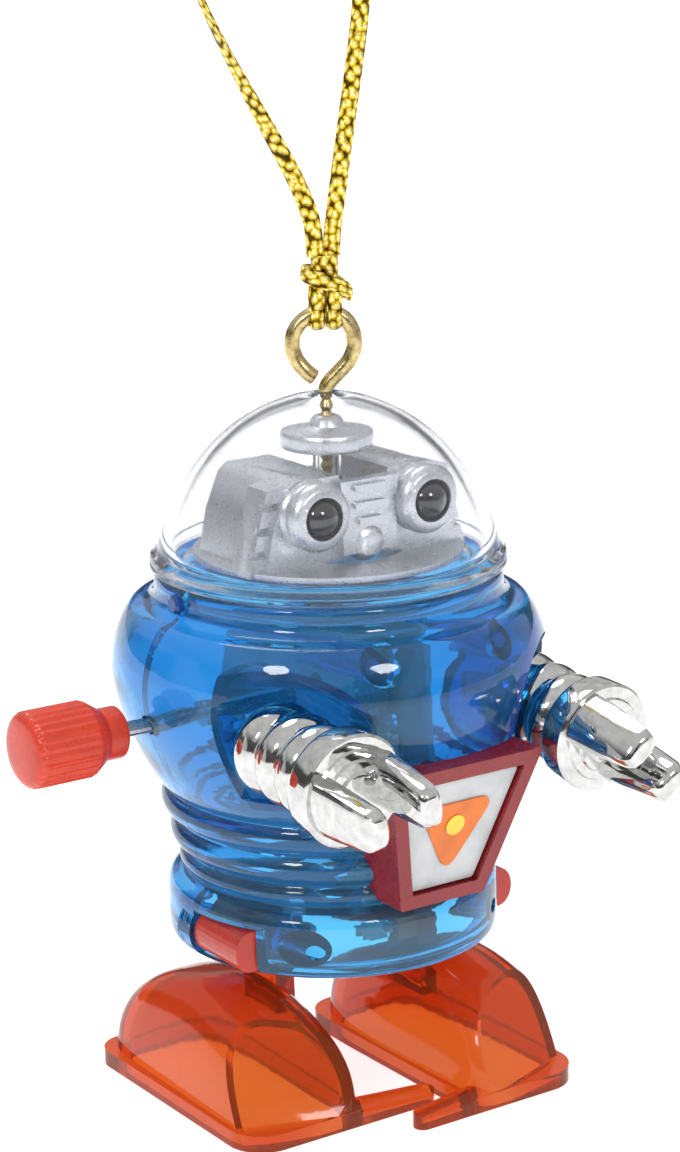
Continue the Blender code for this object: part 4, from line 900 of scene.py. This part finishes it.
def toe_cut(back):
    """Half space in front of the sloping, outward-turned toe face."""
    slab = block("toe_face", (-40, -40, -30), (40, 0, 40))
    turn = Matrix.Rotation(math.radians(20), 4, "Z") @ Matrix.Rotation(math.radians(-24), 4, "X")
    return moved(slab, Matrix.Translation(Vector((12.6, TOE_FRONT + 1.2 + back, SOLE_T))) @ turn)


def toe_bar(reach):
    """Bar across the toes that ends past the middle by the reach."""
    tip = 1.15
    plan = [(9.0, TOE_FRONT), (9.0, TOE_FRONT + 3.3)] + arc((tip - reach, TOE_FRONT + tip), tip, 95, 270, 24)
    section = [(TOE_FRONT - 1.0, -1.0), (TOE_FRONT - 1.0, 0.3)]
    section += [(TOE_FRONT + 1.6 - 1.6 * math.cos(math.radians(a)), 0.5 + 0.5 * math.sin(math.radians(a)))
                for a in range(0, 181, 12)]
    section += [(TOE_FRONT + 5.0, 0.4), (TOE_FRONT + 5.0, -1.0)]
    slope = loft("slope", [[(x, y, level * high if level > 0 else level) for y, level in section]
                           for x, high in ((-reach - 1.0, 1.7), (9.5, 3.1))])
    return keep(prism("toe_bar", plan, 0.0, 4.0, "Z"), slope)


def foot(name, reach):
    """The robot's left boot, sole, toe bar and leg in one moulding, its crank pin at the rear."""
    sole = (arc((FOOT_OUT - 3.4, HEEL - 3.4), 3.4, 0, 90, 16) + arc((9.2, HEEL - 4.2), 4.2, 90, 170, 16)
            + [(5.0, 9.0), (5.3, TOE_FRONT + 2.0)] + arc((7.3, TOE_FRONT + 2.0), 2.0, 180, 270, 10)
            + arc((FOOT_OUT - 4.6, TOE_FRONT + 4.6), 4.6, -90, 0, 20))
    wall = 1.15
    upper = boot_loft(name, 0.0, 0.0)
    cut(upper, toe_cut(0.0))
    add(upper, prism("sole", sole, 0.0, SOLE_T, "Z"), toe_bar(reach))
    cut(upper, cut(boot_loft("hollow", wall, -1.0), toe_cut(wall)))
    pin = (CRANK[0] + THROW, CRANK[1])
    leg = [(pin[0] - 3.6, 10.0), (pin[0] + 3.6, 10.0), (pin[0] + 3.2, 17.0)]
    leg += arc(pin, 2.6, 0, 180, 24) + [(pin[0] - 3.2, 17.0)]
    add(upper, prism("leg", leg, 7.2, 9.8, "X"))
    cut(upper, rod("pin_way", 0.98, 6.2, 10.8, "X", pin))
    return bevelled(upper, 0.3, 3, 30.0)


def feet():
    left = moved(foot("boot_left", 2.2), Matrix.Translation((0, -2 * THROW, 0)))
    piece(left, MAT["orange"], "foot_left", "orange_foot", "foot_left", angle=40.0)
    right = mirrored(foot("boot_right", 4.2))
    piece(right, MAT["orange"], "foot_right", "orange_foot", "foot_right", angle=40.0)


# ---- camera, floor and light -----------------------------------------------------------------
def camera():
    """The view: from the robot's right front, a little above, with a slight roll."""
    data = bpy.data.cameras.new("view")
    data.sensor_width = 36.0
    data.lens = 93.805
    data.clip_start, data.clip_end = 0.01, 30.0
    item = bpy.data.objects.new("view", data)
    bpy.context.scene.collection.objects.link(item)
    azimuth, elevation, roll = math.radians(-34.43), math.radians(14.72), math.radians(-0.74)
    distance = 347.56
    back = Vector((math.sin(azimuth) * math.cos(elevation), -math.cos(azimuth) * math.cos(elevation),
                   math.sin(elevation)))
    across = Vector((math.cos(azimuth), math.sin(azimuth), 0))
    target = Vector((0, 0, 61.54)) + across * 1.31
    right = (-back).cross(Vector((0, 0, 1))).normalized()
    up = right.cross(-back)
    right, up = right * math.cos(roll) + up * math.sin(roll), up * math.cos(roll) - right * math.sin(roll)
    spin = Matrix((right, up, back)).transposed().to_4x4()
    item.matrix_world = Matrix.Translation(place(*(target + back * distance))) @ spin
    bpy.context.scene.camera = item


def lamp(name, at, towards, power, size):
    data = bpy.data.lights.new(name, "AREA")
    data.energy = power
    data.shape = "DISK"
    data.size = size
    item = bpy.data.objects.new(name, data)
    bpy.context.scene.collection.objects.link(item)
    item.location = at
    item.rotation_mode = "QUATERNION"
    item.rotation_quaternion = (Vector(towards) - Vector(at)).to_track_quat("-Z", "Y")


def surroundings():
    """A pale glowing floor, a patchy sky that is dimmer near the horizon, and three lamps."""
    floor = prism("floor", arc((0, 0), 9000.0, 0, 360, 64)[:-1], -20.0, -0.02, "Z")
    paper = Shader("floor_paper", IOR=1.4)
    paper.tone([(0.3, (0.80, 0.80, 0.80)), (0.7, (0.83, 0.83, 0.83))], 0.02)
    paper.rough(0.6, 0.75, 0.2)
    paper.set("Emission Color", (1.0, 1.0, 1.0))
    paper.set("Emission Strength", 0.6)
    floor.data.materials.append(paper.material)
    world = bpy.data.worlds.new("sky")
    world.use_nodes = True
    tree = world.node_tree
    tree.nodes.clear()
    coords = tree.nodes.new("ShaderNodeTexCoord")
    split = tree.nodes.new("ShaderNodeSeparateXYZ")
    patches = tree.nodes.new("ShaderNodeTexNoise")
    patches.inputs["Scale"].default_value = 1.7
    patches.inputs["Detail"].default_value = 0.5
    tree.links.new(coords.outputs["Generated"], patches.inputs["Vector"])
    bands = []
    for source, stops in ((split.outputs["Z"], [(0.0, 0.25), (0.1, 0.12), (0.36, 0.16), (0.58, 1.0)]),
                          (patches.outputs["Fac"], [(0.47, 0.05), (0.54, 0.85)])):
        ramp = tree.nodes.new("ShaderNodeValToRGB")
        band = ramp.color_ramp
        while len(band.elements) < len(stops):
            band.elements.new(0.5)
        for element, (at, value) in zip(band.elements, stops):
            element.position = at
            element.color = (value, value, value, 1)
        tree.links.new(source, ramp.inputs["Fac"])
        bands.append(ramp.outputs["Color"])
    most = tree.nodes.new("ShaderNodeMix")
    most.data_type = "RGBA"
    most.blend_type = "LIGHTEN"
    most.inputs["Factor"].default_value = 1.0
    tree.links.new(bands[0], most.inputs[6])
    tree.links.new(bands[1], most.inputs[7])
    shine = tree.nodes.new("ShaderNodeBackground")
    shine.inputs["Strength"].default_value = 0.75
    out = tree.nodes.new("ShaderNodeOutputWorld")
    tree.links.new(coords.outputs["Generated"], split.inputs[0])
    tree.links.new(most.outputs[2], shine.inputs["Color"])
    tree.links.new(shine.outputs[0], out.inputs["Surface"])
    bpy.context.scene.world = world
    centre = place(0, 0, 50)
    for name, azimuth, power in (("flash_a", -65.0, 1.3), ("flash_b", -3.0, 1.3)):
        a, lift = math.radians(azimuth), math.radians(33.0)
        away = Vector((math.sin(a) * math.cos(lift), -math.cos(a) * math.cos(lift), math.sin(lift)))
        lamp(name, centre + away * 0.8, centre, power, 0.17)
    lamp("overhead", centre + Vector((0.05, 0.35, 0.9)), centre, 3.0, 0.5)
    bpy.context.scene.view_settings.view_transform = "Standard"


def main():
    dress_cad()
    camera()
    front_shell()
    rear_shell()
    dome()
    head()
    eyes()
    antenna()
    screw_eye()
    cord(knot())
    chest()
    knob()
    arms()
    feet()
    surroundings()


main()
